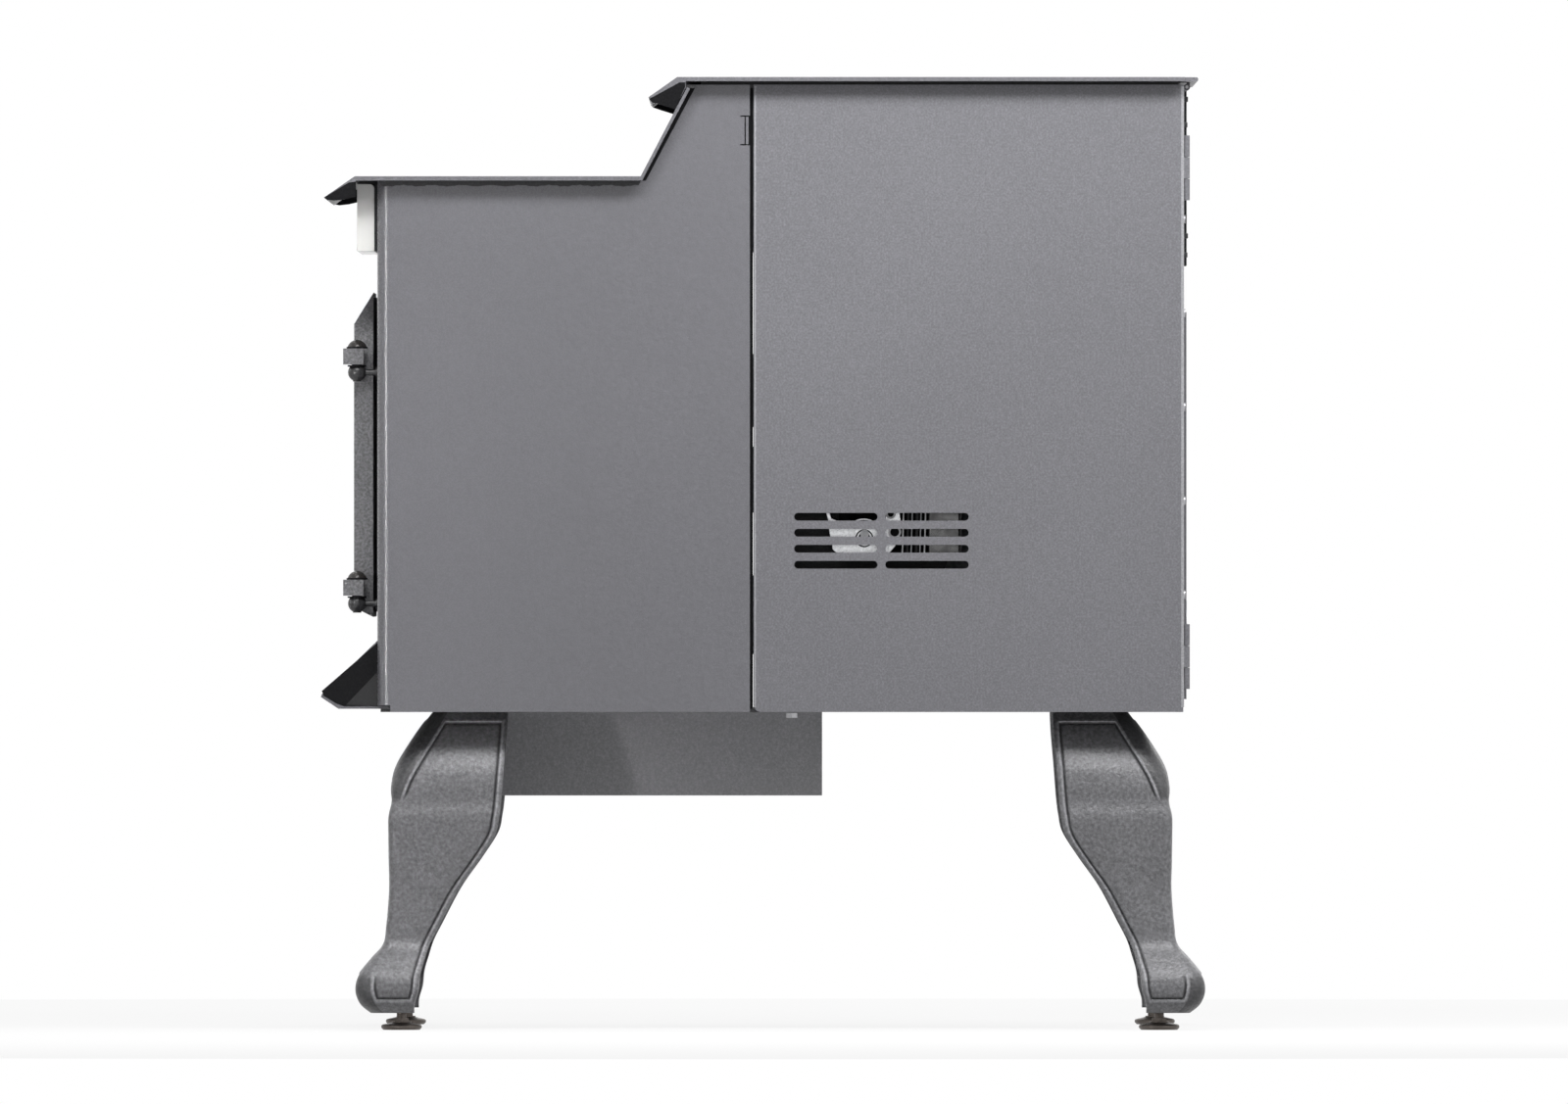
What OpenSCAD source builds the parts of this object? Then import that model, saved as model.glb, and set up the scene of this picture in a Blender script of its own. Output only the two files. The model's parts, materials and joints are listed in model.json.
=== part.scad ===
// Free-standing pellet stove. Front is -Y, right side is +X, the floor is Z = 0.
// The origin lies on the floor under the middle of the stove's overall width and depth.

/* [Casing] */
// Outside width of the casing
body_w = 600; // [570:5:640]
// Depth of the casing, from the front sheet to the back panel
body_d = 755; // [740:5:790]
// Height of the casing's underside above the floor
floor_gap = 298; // [290:1:320]
// Height of the casing at the hopper end
body_h = 588; // [580:1:610]
// Height of the casing at the fire end
front_h = 498; // [490:1:505]
// Depth of the front shroud, measured along its side
shroud_d = 349; // [345:1:352]
// Depth of the low, fire end of the shroud's top
front_top_d = 248; // [244:1:250]
// Depth that the sloping riser takes between low and high top
riser_d = 47; // [44:1:50]
// Thickness of the casing sheet
sheet = 3; // [2:0.5:3]
// Radius of the shroud's vertical front corners
corner_r = 12; // [8:1:16]
// Gap between the shroud and a side panel
panel_gap = 3.4; // [3:0.2:6]

/* [Top plates] */
// Width of the lid and of the front top plate
top_w = 636; // [606:2:646]
// Thickness of the lid and of the front top plate
plate = 4; // [3:0.5:6]
// Reach of the front top plate's lip beyond the shroud
top_lip = 50; // [40:1:52]
// Drop of the front top plate's lip
top_drop = 19; // [14:1:22]
// Reach of the lid's lip beyond the top of the riser
lid_lip = 41; // [34:1:44]
// Drop of the lid's lip
lid_drop = 19; // [14:1:20]
// Overhang of the lid behind the back panel
lid_rear = 14; // [12:1:20]
// Gap between the lid and the casing, filled by the gasket
lid_gap = 3; // [1.5:0.5:3]

/* [Side panels] */
// Length of one louvre slot
slot_l = 78; // [60:1:80]
// Height of one louvre slot
slot_h = 7.3; // [5:0.1:9]
// Distance between louvre rows
slot_pitch = 15; // [12:0.5:18]
// Number of louvre rows
slot_rows = 4; // [2:1:6]
// Width of the web between the two louvre columns
slot_web = 7.4; // [5:0.2:12]
// Distance from the panel's front edge to the louvres
slot_front = 38.1; // [30:0.1:60]
// Height of the lowest louvre row above the casing's underside
slot_low = 138; // [120:1:160]

/* [Door] */
// Width of the door casting
door_w = 420; // [400:2:424]
// Height of the door's lower edge above the casing's underside
door_low = 89; // [86:1:95]
// Height of the door casting at its crown
door_h = 305; // [290:1:308]
// Thickness of the door casting
door_t = 18; // [16:1:20]
// Gap between the door and the shroud, filled by the rope seal
door_gap = 4.6; // [4:0.2:6]
// Width of the window in the door
window_w = 270; // [240:2:280]
// Height of the window in the door
window_h = 196; // [160:2:200]
// Thickness of the ceramic glass
glass_t = 5; // [4:0.5:5]
// Diameter of the hinge pins
pin_d = 8; // [6:0.5:9]

/* [Ash parts] */
// Reach of the ash lip beyond the shroud
ash_reach = 53; // [53:1:70]
// Width of the ash lip
ash_w = 576; // [500:4:576]
// Width of the ash box under the casing
ash_box_w = 260; // [220:5:300]
// Depth of the ash box
ash_box_d = 356; // [330:2:370]
// Height of the ash box
ash_box_h = 79; // [70:1:90]

/* [Legs] */
// Height of the leg casting, from the casing's underside down
leg_h = 282; // [270:1:284]
// Inset of the leg's top corner from the casing's edges
leg_inset = 51.5; // [45:0.5:60]
// Wall thickness of the leg casting
leg_wall = 9; // [7:0.5:12]
// Diameter of the levelling disc
glide_d = 38; // [30:1:42]
// Diameter of the levelling screw
glide_screw = 9; // [8:0.5:10]

/* [Fire and fuel] */
// Width of the firebox
fire_w = 320; // [300:5:324]
// Depth of the firebox
fire_d = 267; // [260:1:270]
// Plate thickness of the firebox
fire_plate = 4; // [3:0.5:5]
// Width of the hopper
hopper_w = 400; // [360:5:420]
// Depth of the hopper's mouth
hopper_d = 360; // [330:5:370]
// Inside diameter of the auger tube
auger_bore = 53; // [50:1:56]
// Pitch of the auger screw
auger_pitch = 45; // [36:1:56]
// Slope of the auger above level, degrees
auger_slope = 36; // [35:0.5:37]
// Outside diameter of the flue collar
flue_d = 76.2; // [70:0.2:80]
// Outside diameter of the fresh-air pipe
air_d = 50.8; // [44:0.2:52]
// Wall thickness of the flue collar and the air pipe
pipe_wall = 2; // [1.5:0.1:2.5]

/* [Control panel] */
// Height of the control panel's housing
ctrl_h = 63; // [56:1:64]
// Depth of the control panel's housing
ctrl_d = 19.2; // [17:0.2:20]
// Width of the control panel's housing
ctrl_w = 560; // [480:5:570]

// Travel of a push button
button_travel = 1.5; // [1:0.1:2]

/* [Hidden] */
$fn = 48;

// Clearances shared by the pieces
fit = 0.05; // radial running fit of a pin or shaft
seat = 0.3; // gap at a seat
slack = 1; // side clearance of sheet parts that pass each other
past = 1; // how far a cutting tool runs past a face

// Main planes of the casing
toe_reach = 72; // how far a toe stands out from its leg's corner
rear_reach = toe_reach - leg_inset; // the rear toes reach furthest back
front_y = -(ash_reach + body_d + rear_reach) / 2 + ash_reach;
back_y = front_y + body_d;
top_z = floor_gap + body_h;
low_top_z = floor_gap + front_h;
side_x = body_w / 2;
inner_x = side_x - sheet;
shroud_y = front_y + shroud_d;
step_y = front_y + front_top_d;
riser_y = step_y + riser_d;
panel_y = shroud_y + panel_gap;
base_top = floor_gap + sheet;
deck_z = top_z - sheet;
lid_z = top_z + lid_gap;
post_w = 20;

// Lid hinge
knuckle_r = 3;
lid_axis_y = back_y + knuckle_r + slack;
lid_axis_z = top_z - 1.6;
lid_knuckle_l = 24;
lid_hinge_x = 190;

// Side panel hinges
panel_axis_x = side_x - knuckle_r - 0.5;
panel_axis_y = back_y + knuckle_r + 0.1;
panel_knuckle_l = 20;
panel_hinge_low = 42;
panel_hinge_high = body_h - 88;

// Door
door_z0 = floor_gap + door_low;
door_z1 = door_z0 + door_h;
door_back = front_y - door_gap;
door_front = door_back - door_t;
door_bevel = 30;
door_corner = 70;
window_z0 = door_z0 + 48;
window_z1 = window_z0 + window_h;
rebate = 9;
glass_lip = 12;
mouth_w = window_w + 30;
mouth_z0 = window_z0 - 15;
mouth_z1 = window_z1 + 15;
hinge_x = door_w / 2 + 12;
hinge_y = door_front + 3;
hinge_low_z = door_z0 + 20;
hinge_span = 217;
hinge_high_z = hinge_low_z + hinge_span;
lug_h = 15;
lug_w = 19;
ball_r = 8;
ball_drop = ball_r - 0.6;
pin_r = pin_d / 2;

// Firebox
fire_z0 = floor_gap + 47;
fire_h = 347;
fire_z1 = fire_z0 + fire_h;
fire_y0 = front_y + sheet;
fire_y1 = fire_y0 + fire_d;
fire_x = fire_w / 2;
pot_y = fire_y0 + 155;
pot_w = 80;
pot_d = 70;
pot_top = fire_z0 + 49;
carrier_top = pot_top - 4;
feed_w = 50;
feed_z0 = fire_z0 + 245;
feed_z1 = feed_z0 + 70;

// Heat exchanger and warm-air outlet
grille_w = 300;
grille_z0 = fire_z1 + 6;
grille_z1 = grille_z0 + 26;
tube_r = 11;
tubes_n = 9;

// Auger, in the plane X = 0
hopper_sheet = 2;
auger_y = 170;
auger_rise = 172; // start of the auger above the base
auger_z = floor_gap + auger_rise;
auger_tube_r = auger_bore / 2 + 1.5;
auger_l = 285;
auger_shaft_r = 8;
throat_y = 90;
throat_w = 50;
throat_d = 56;
throat_front = throat_y - throat_d / 2 - hopper_sheet;
throat_z = auger_z + (auger_y - throat_front) * tan(auger_slope) + auger_tube_r / cos(auger_slope) + 2;

// Hopper
hopper_y0 = shroud_y - 11;
hopper_y1 = hopper_y0 + hopper_d;
hopper_straight_z = top_z - 126;

// Exhaust side
exhaust_x = -197;
exhaust_y = 215;
exhaust_z = floor_gap + 102;
exhaust_r = 72;
exhaust_w = 65;
flue_z = exhaust_z + 30;
flue_r = flue_d / 2;
flue_y0 = exhaust_y + exhaust_r;
outlet_y = back_y + 6;

// Fresh-air pipe
air_x = -62;
air_z = fire_z0 + 32;
air_r = air_d / 2;

// Convection side; the motor shows through the right louvres
louvre_z = floor_gap + slot_low;
wheel_y = panel_y + 104.1;
wheel_z = louvre_z + 29;
scroll_r = 82;
scroll_x0 = 75;
scroll_w = 125;
wheel_r = 54;
motor_x = side_x - 78;
motor_shaft_r = 4;

// Control panel
ctrl_z1 = low_top_z - 3;
ctrl_z0 = ctrl_z1 - ctrl_h;
button_r = 7;
button_pitch = 30;
button_bore = 13;
ctrl_neck = 3;
ctrl_recess = 2.5;
button_x = 60;
ctrl_mid_z = (ctrl_z0 + ctrl_z1) / 2;

// Ash box
ash_box_y1 = 55.5;
ash_box_y0 = ash_box_y1 - ash_box_d;
ash_box_z0 = floor_gap - ash_box_h;

// Legs: height fraction, offset of the corner, width of a wing and radius of the corner
leg_curve = [[0, 0, 71, 14], [0.075, 15.6, 85.5, 17], [0.173, 32.6, 100, 18], [0.24, 37.6, 103.5, 16],
             [0.3, 38, 102.5, 9], [0.35, 40.9, 103.5, 4], [0.41, 41, 99.6, 4], [0.495, 40.6, 84, 4],
             [0.593, 40, 64, 4], [0.71, 42.5, 49, 5], [0.772, 45.4, 43, 6], [0.82, 56.9, 50, 9],
             [0.875, 68.9, 57.5, 12], [0.925, toe_reach, 59, 14], [0.97, 67.5, 51, 14], [1, 57.8, 41, 12]];
leg_steps = 2;
leg_rim = 5;
leg_groove = 1.3;
glide_in = 29;
leg_z1 = floor_gap;
leg_z0 = floor_gap - leg_h;
pad_h = 12;
pad_w = 46;
bolt_in = pad_w / 2 + 4;
leg_bolt_r = 5;
leg_corner_x = side_x - leg_inset;
leg_front_y = front_y + leg_inset;
leg_rear_y = back_y - leg_inset;

// A box between two corners
module bar(lo, hi) {
  translate(lo) cube(hi - lo);
}

// An outline of [y, z] points, drawn out along X
module across(points, x0, x1) {
  translate([x0, 0, 0]) rotate([90, 0, 90]) linear_extrude(x1 - x0) polygon(points);
}

// A cylinder along X, Y or Z between two stations
module rod_x(x0, x1, y, z, r) {
  translate([x0, y, z]) rotate([0, 90, 0]) cylinder(h = x1 - x0, r = r);
}
module rod_y(y0, y1, x, z, r) {
  translate([x, y0, z]) rotate([-90, 0, 0]) cylinder(h = y1 - y0, r = r);
}
module rod_z(z0, z1, x, y, r) {
  translate([x, y, z0]) cylinder(h = z1 - z0, r = r);
}

// The same shape on the right and, mirrored, on the left
module both_sides() {
  children();
  mirror([1, 0, 0]) children();
}

// Casing

// Side outline of the shroud, stepped down over the fire end
function shroud_outline() = [
  [front_y, floor_gap], [front_y, low_top_z], [step_y, low_top_z],
  [riser_y, top_z], [shroud_y, top_z], [shroud_y, floor_gap]];

// A block with rounded vertical front corners
module round_front(x, y0, y1, z0, z1, r) {
  bar([-x, y0 + r, z0], [x, y1, z1]);
  bar([-x + r, y0, z0], [x - r, y1, z1]);
  for (s = [-1, 1]) rod_z(z0, z1, s * (x - r), y0 + r, r);
}

latch_x = -door_w / 2 + 22;
latch_z = hinge_high_z + lug_h / 2;
catch_h = 28;
catch_w = 5;
catch_slit = 1.2;
catch_z = floor_gap + 531;

module front_shroud() {
  color("dimgray") difference() {
    intersection() {
      across(shroud_outline(), -side_x, side_x);
      round_front(side_x, front_y, shroud_y, floor_gap, top_z, corner_r);
    }
    round_front(inner_x, front_y + sheet, shroud_y + past, floor_gap - past, top_z + past,
                corner_r - sheet);
    // mouth of the fire
    bar([-mouth_w / 2, front_y - past, mouth_z0], [mouth_w / 2, front_y + sheet + past, mouth_z1]);
    // outlet for warm air
    bar([-grille_w / 2, front_y - past, grille_z0], [grille_w / 2, front_y + sheet + past, grille_z1]);
    // slot for the door's latch
    bar([latch_x - 7, front_y - past, latch_z - 24], [latch_x + 7, front_y + sheet + past, latch_z + 24]);
    // the ash lip passes under the front sheet
    bar([-side_x - past, front_y - past, floor_gap - past],
        [side_x + past, front_y + corner_r, floor_gap + 2 * sheet + seat]);
    // notch for the catch of each side panel
    for (s = [-1, 1]) {
      bar([s * side_x - sheet - past, shroud_y - catch_w, catch_z],
          [s * side_x + sheet + past, shroud_y + past, catch_z + catch_h]);
      for (z = [catch_z, catch_z + catch_h - catch_slit])
        bar([s * side_x - sheet - past, shroud_y - catch_w - 4, z],
            [s * side_x + sheet + past, shroud_y, z + catch_slit]);
    }
    // hinge studs of the door
    for (z = [hinge_low_z, hinge_high_z])
      rod_y(front_y - past, front_y + sheet + past, hinge_x, z - ball_drop, 3);
  }
}

// Top plate: lip, flat and riser in one folded piece
module front_top_plate() {
  lip_bend = front_y - top_lip * 0.42;
  lip_tip = front_y - top_lip;
  up = low_top_z + plate;
  rise = [riser_d, body_h - front_h];
  run = norm(rise);
  n = [-rise[1], rise[0]] / run * sheet;
  foot = [step_y, low_top_z];
  reach = 0.955;
  color("gray") union() {
    across([[lip_tip, up - top_drop - 1], [lip_tip + 4, up - top_drop - 4],
            [lip_bend + 2, low_top_z], foot, foot + rise * reach, foot + rise * reach + n,
            foot + n + rise * (plate - n[1]) / rise[1], [lip_bend, up]],
           -top_w / 2, top_w / 2);
    // end webs of the lip
    for (s = [-1, 1])
      translate([s * (top_w / 2 - 1.5), 0, 0])
        across([[lip_tip + 1, up - top_drop - 2], [lip_tip + 9, up - top_drop - 4],
                [lip_tip + 18, up - top_drop - 3], [front_y - ctrl_d - 1, up - top_drop],
                [front_y - ctrl_d - 1, low_top_z + 1], [lip_bend, low_top_z + 1]], -1.5, 1.5);
  }
}

// The lid is one plate with a folded lip, and a web at each end of the lip
module hopper_lid() {
  fold = riser_y - 14;
  tip = riser_y - lid_lip;
  up = lid_z + plate;
  web_drop = 22;
  web_y = riser_y - riser_d * web_drop / (body_h - front_h) - 4.2;
  color("gray") union() {
    difference() {
      across([[tip, up - lid_drop], [tip + 3, up - lid_drop - 4], [fold + 1, lid_z],
              [back_y + lid_rear - 1, lid_z], [back_y + lid_rear, lid_z + 1],
              [back_y + lid_rear, up - 1], [back_y + lid_rear - 1, up], [fold, up]],
             -top_w / 2, top_w / 2);
      // relief at the rear corners, so that the open lid clears the open side panels
      both_sides()
        bar([panel_axis_x - knuckle_r, lid_axis_y - knuckle_r, lid_z - past],
            [top_w / 2 + past, back_y + lid_rear + past, up + past]);
    }
    for (s = [-1, 1])
      translate([s * (top_w / 2 - 1.5), 0, 0])
        across([[tip + 3, up - lid_drop - 4], [tip + 11, up - lid_drop - 7], [web_y, top_z - web_drop],
                [riser_y - 6, top_z - 2.5], [riser_y - 6, lid_z + 1], [fold, lid_z + 1]], -1.5, 1.5);
    // knuckles of the lid's half of the hinges
    for (s = [-1, 1])
      difference() {
        union() {
          rod_x(s * lid_hinge_x - lid_knuckle_l / 2, s * lid_hinge_x + lid_knuckle_l / 2,
                lid_axis_y, lid_axis_z, knuckle_r);
          bar([s * lid_hinge_x - lid_knuckle_l / 2, lid_axis_y, lid_axis_z],
              [s * lid_hinge_x + lid_knuckle_l / 2, lid_axis_y + knuckle_r, lid_z + past]);
        }
        rod_x(s * lid_hinge_x - lid_knuckle_l, s * lid_hinge_x + lid_knuckle_l,
              lid_axis_y, lid_axis_z, 1.5 + fit);
      }
  }
}

gasket_w = 8;
gasket_in = 4;

module lid_gasket() {
  x = hopper_w / 2 + gasket_in;
  y0 = hopper_y0 - gasket_in;
  y1 = hopper_y1 + gasket_in;
  color("black") difference() {
    bar([-x - gasket_w, y0 - gasket_w, top_z], [x + gasket_w, y1 + gasket_w, lid_z]);
    bar([-x, y0, top_z - past], [x, y1, lid_z + past]);
  }
}

// Flat deck that closes the casing under the lid, with the hopper's mouth cut out
module hopper_deck() {
  x = inner_x - slack;
  rim_x = inner_x - 14;
  rim_d = 3;
  rim_z = lid_z - fit * 4;
  color("dimgray") difference() {
    union() {
      bar([-x, riser_y + 6, deck_z], [x, back_y - sheet, top_z]);
      // drip rim that the lid covers
      bar([-rim_x, riser_y + 8, deck_z], [rim_x, back_y - sheet - 2, rim_z]);
    }
    bar([-rim_x + rim_d, riser_y + 8 + rim_d, top_z],
        [rim_x - rim_d, back_y - sheet - 2 - rim_d, rim_z + past]);
    bar([-hopper_w / 2 + hopper_sheet, hopper_y0 + hopper_sheet, deck_z - past],
        [hopper_w / 2 - hopper_sheet, hopper_y1 - hopper_sheet, rim_z + past]);
  }
}

// Fixed knuckles on both sides of each lid knuckle, on leaves that lie on the back panel
module lid_hinge_leaves() {
  gap = 0.4;
  color("gray") for (s = [-1, 1], t = [-1, 1]) {
    x0 = s * lid_hinge_x + t * (lid_knuckle_l + gap) - lid_knuckle_l / 2;
    difference() {
      union() {
        rod_x(x0, x0 + lid_knuckle_l, lid_axis_y, lid_axis_z, knuckle_r);
        bar([x0, back_y, lid_axis_z - 34], [x0 + lid_knuckle_l, back_y + 2, lid_axis_z]);
      }
      rod_x(x0 - past, x0 + lid_knuckle_l + past, lid_axis_y, lid_axis_z, 1.5 + fit);
    }
  }
}

module lid_hinge_pins() {
  color("silver") for (s = [-1, 1])
    rod_x(s * lid_hinge_x - lid_knuckle_l * 1.5, s * lid_hinge_x + lid_knuckle_l * 1.5,
          lid_axis_y, lid_axis_z, 1.5);
}

// One louvre slot with round ends, cut along X
module louvre_slot(y0, z) {
  r = slot_h / 2;
  bar([inner_x - past, y0 + r, z - r], [side_x + past, y0 + slot_l - r, z + r]);
  for (y = [y0 + r, y0 + slot_l - r]) rod_x(inner_x - past, side_x + past, y, z, r);
}

// Side panel: a sheet with a hemmed front edge, louvres and the moving hinge knuckles
module side_panel() {
  difference() {
    union() {
      bar([inner_x, panel_y + 7, floor_gap], [side_x, back_y, top_z]);
      bar([inner_x, panel_y, floor_gap + 7], [side_x, back_y, top_z]);
      rod_x(inner_x, side_x, panel_y + 7, floor_gap + 7, 7);
      // front hem, turned inwards
      bar([inner_x - 12, panel_y, floor_gap + 14], [side_x, panel_y + 2, deck_z - slack]);
      // moving knuckles
      for (z = [panel_hinge_low, panel_hinge_high]) {
        rod_z(floor_gap + z, floor_gap + z + panel_knuckle_l, panel_axis_x, panel_axis_y, knuckle_r);
        bar([panel_axis_x, back_y - past, floor_gap + z],
            [panel_axis_x + knuckle_r, panel_axis_y, floor_gap + z + panel_knuckle_l]);
      }
    }
    for (z = [panel_hinge_low, panel_hinge_high])
      rod_z(floor_gap + z - past, floor_gap + z + panel_knuckle_l + past, panel_axis_x, panel_axis_y,
            1.5 + fit);
    for (row = [0:slot_rows - 1], col = [0, 1])
      louvre_slot(panel_y + slot_front + col * (slot_l + slot_web), louvre_z + row * slot_pitch);
  }
}

module right_side_panel() {
  color("slategray") side_panel();
}

module left_side_panel() {
  color("slategray") mirror([1, 0, 0]) side_panel();
}

// Fixed knuckles, their leaves on the back panel and the pins
module side_panel_hinges() {
  color("gray") both_sides() for (z = [panel_hinge_low, panel_hinge_high]) {
    z1 = floor_gap + z;
    z2 = z1 + panel_knuckle_l + 0.4;
    for (a = [z1 - panel_knuckle_l - 0.4, z2]) union() {
      rod_z(a, a + panel_knuckle_l, panel_axis_x, panel_axis_y, knuckle_r);
      bar([panel_axis_x - 22, back_y, a], [panel_axis_x, back_y + 1.5, a + panel_knuckle_l]);
    }
    rod_z(z1 - 2, z2 + 2, panel_axis_x, panel_axis_y, 1.5);
  }
}

// Spring catch that all but fills its notch in the shroud's rear edge, on the post
module panel_catches() {
  color("dimgray") both_sides()
    bar([inner_x - slack, shroud_y - catch_w + catch_slit, catch_z + catch_slit],
        [side_x - fit, shroud_y - catch_slit, catch_z + catch_h - catch_slit]);
}

vent_rows = 6;
vent_x = 60;
vent_l = 150;
rail_x = 252;
rail_w = 14;
rail_d = 3.2;
rail_h = 375;

module back_panel() {
  color("dimgray") difference() {
    union() {
      bar([-inner_x + slack, back_y - 2, base_top], [inner_x - slack, back_y, deck_z]);
      // pressed rails that keep the stove off the wall
      both_sides() bar([rail_x, back_y - past, floor_gap + 12],
                       [rail_x + rail_w, back_y + rail_d, floor_gap + rail_h]);
    }
    rod_y(back_y - 5, back_y + past, exhaust_x, flue_z, flue_r + 1);
    rod_y(back_y - 5, back_y + past, air_x, air_z, air_r + seat);
    // intake for the room-air fan
    for (i = [0:vent_rows - 1])
      bar([vent_x, back_y - 5, wheel_z + i * 16 - 48],
          [vent_x + vent_l, back_y + past, wheel_z + i * 16 - 40]);
    bar([inlet_x - 14 - seat, back_y - 5, inlet_z - 10 - seat],
        [inlet_x + 14 + seat, back_y + past, inlet_z + 10 + seat]);
    for (x = [-1, 1], z = screw_heights)
      rod_y(back_y - 5, back_y + past, x * (inner_x - 12), z, 2.2);
  }
}

inlet_x = 200;
inlet_z = floor_gap + 36;
screw_heights = [for (i = [0:4]) floor_gap + 110 + i * 88];

// Screws of the back panel, and hex bolts that hold the ash box's flange
module casing_screws() {
  color("silver") {
    for (x = [-1, 1], z = screw_heights) union() {
      rod_y(back_y, back_y + 2, x * (inner_x - 12), z, 4);
      rod_y(back_y - 2, back_y, x * (inner_x - 12), z, 2);
    }
    for (x = [-1, 1], y = [0.1, 0.92]) union() {
      translate([x * (ash_box_w / 2 + 14), ash_box_y0 + y * ash_box_d, floor_gap - 6])
        cylinder(h = 4.5, r = 6, $fn = 6);
      rod_z(floor_gap - 2, floor_gap + sheet, x * (ash_box_w / 2 + 14), ash_box_y0 + y * ash_box_d, 3);
    }
    // bolts of the legs, with their heads inside the casing
    for (s = [-1, 1], t = [-1, 1]) at_leg(s, t) translate([bolt_in, bolt_in, 0]) union() {
      translate([0, 0, -pad_h]) cylinder(h = pad_h + sheet, r = leg_bolt_r);
      translate([0, 0, sheet]) cylinder(h = 6, r = 9, $fn = 6);
    }
  }
}

module base_plate() {
  color("dimgray") difference() {
    union() {
      bar([-inner_x, front_y + sheet, floor_gap], [inner_x, shroud_y, base_top]);
      bar([-inner_x + slack, shroud_y - past, floor_gap], [inner_x - slack, back_y, base_top]);
    }
    // the shroud's rounded corners
    for (s = [-1, 1])
      bar([s * side_x - corner_r, front_y, floor_gap - past],
          [s * side_x + corner_r, front_y + corner_r, base_top + past]);
    // ash falls through into the ash box
    bar([-pot_w / 2 - 8, pot_y - pot_d / 2 - 8, floor_gap - past],
        [pot_w / 2 + 8, pot_y + pot_d / 2 + 8, base_top + past]);
    for (x = [-1, 1], y = [0.1, 0.92])
      rod_z(floor_gap - past, base_top + past, x * (ash_box_w / 2 + 14), ash_box_y0 + y * ash_box_d, 3 + fit);
    for (s = [-1, 1], t = [-1, 1]) at_leg(s, t) translate([bolt_in, bolt_in, -past])
      cylinder(h = sheet + 2 * past, r = leg_bolt_r + fit);
  }
}

// Angle posts that carry the deck and the panels
module frame_posts() {
  x = inner_x - slack;
  front = shroud_y - post_w - 1;
  rear = back_y - 2 - post_w;
  color("dimgray") both_sides() for (y = [front, rear]) union() {
    // the front post reaches behind the gap before the side panel
    bar([x - 2, y, base_top], [x, y == front ? panel_y - 0.9 : y + post_w, deck_z]);
    bar([x - post_w, y + post_w - 2, base_top], [x, y + post_w, deck_z]);
  }
}

// Ash parts

// Shelf under the door, folded up at its front, with a cheek at each end
module ash_lip() {
  bend = front_y - ash_reach * 0.69;
  tip = front_y - ash_reach;
  shelf = base_top + sheet;
  color("dimgray") union() {
    across([[front_y + corner_r - 0.5, base_top], [bend, base_top], [tip, base_top + 11],
            [tip + 1, base_top + 14], [tip + 3, base_top + 13], [bend + 1, shelf],
            [front_y + corner_r - 0.5, shelf]], -ash_w / 2, ash_w / 2);
    for (s = [-1, 1])
      translate([s * (ash_w / 2 - 1), 0, 0])
        across([[tip + 1, base_top + 13.5], [front_y, floor_gap + 67], [front_y, shelf - 1],
                [bend, shelf - 1], [tip + 2, base_top + 11]], -1, 1);
  }
}

box_sheet = 2;

// Box under the casing that holds the ash drawer; open to the front and to the chute above
module ash_box_housing() {
  x = ash_box_w / 2;
  y1 = ash_box_y0 + ash_box_d;
  color("dimgray") difference() {
    union() {
      bar([-x, ash_box_y0, ash_box_z0], [x, y1, floor_gap]);
      bar([-x - 26, ash_box_y0 + 2, floor_gap - 1.5], [x + 26, y1 - 2, floor_gap]);
    }
    bar([-x + box_sheet, ash_box_y0 - past, ash_box_z0 + box_sheet],
        [x - box_sheet, y1 - box_sheet, floor_gap + past]);
    for (s = [-1, 1], y = [0.1, 0.92])
      rod_z(floor_gap - 5, floor_gap + past, s * (x + 14), ash_box_y0 + y * ash_box_d, 3 + fit);
  }
}

module ash_drawer() {
  x = ash_box_w / 2 - box_sheet - slack;
  y1 = ash_box_y0 + ash_box_d - box_sheet - 8;
  z0 = ash_box_z0 + box_sheet;
  z1 = floor_gap - 10;
  wall = 1.5;
  grip_y = ash_box_y0 - 22;
  grip_z = ash_box_z0 + 34;
  color("gray") union() {
    difference() {
      bar([-x, ash_box_y0 - seat, z0], [x, y1, z1]);
      bar([-x + wall, ash_box_y0 + wall, z0 + wall], [x - wall, y1 - wall, z1 + past]);
    }
    bar([-x - 4, ash_box_y0 - 3, ash_box_z0 + 0.5], [x + 4, ash_box_y0 - seat, floor_gap - slack]);
    rod_x(-45, 45, grip_y, grip_z, 4);
    for (s = [-1, 1]) {
      translate([s * 45, grip_y, grip_z]) sphere(r = 4);
      rod_y(grip_y, ash_box_y0 - 2, s * 45, grip_z, 4);
    }
  }
}

// Door

// A plate in the XZ plane with rounded corners
module round_plate(x, z0, z1, r_low, r_high, y0, y1) {
  bar([-x, y0, z0 + r_low], [x, y1, z1 - r_high]);
  bar([-x + r_low, y0, z0], [x - r_low, y1, z0 + r_low]);
  bar([-x + r_high, y0, z1 - r_high], [x - r_high, y1, z1]);
  for (s = [-1, 1]) {
    rod_y(y0, y1, s * (x - r_low), z0 + r_low, r_low);
    rod_y(y0, y1, s * (x - r_high), z1 - r_high, r_high);
  }
}

module hinge_lug(z) {
  bar([door_w / 2 - 12, hinge_y - 13, z], [hinge_x + lug_w / 2, hinge_y + 6, z + lug_h]);
}

clip_w = 18;
clip_at = 70;

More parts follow.
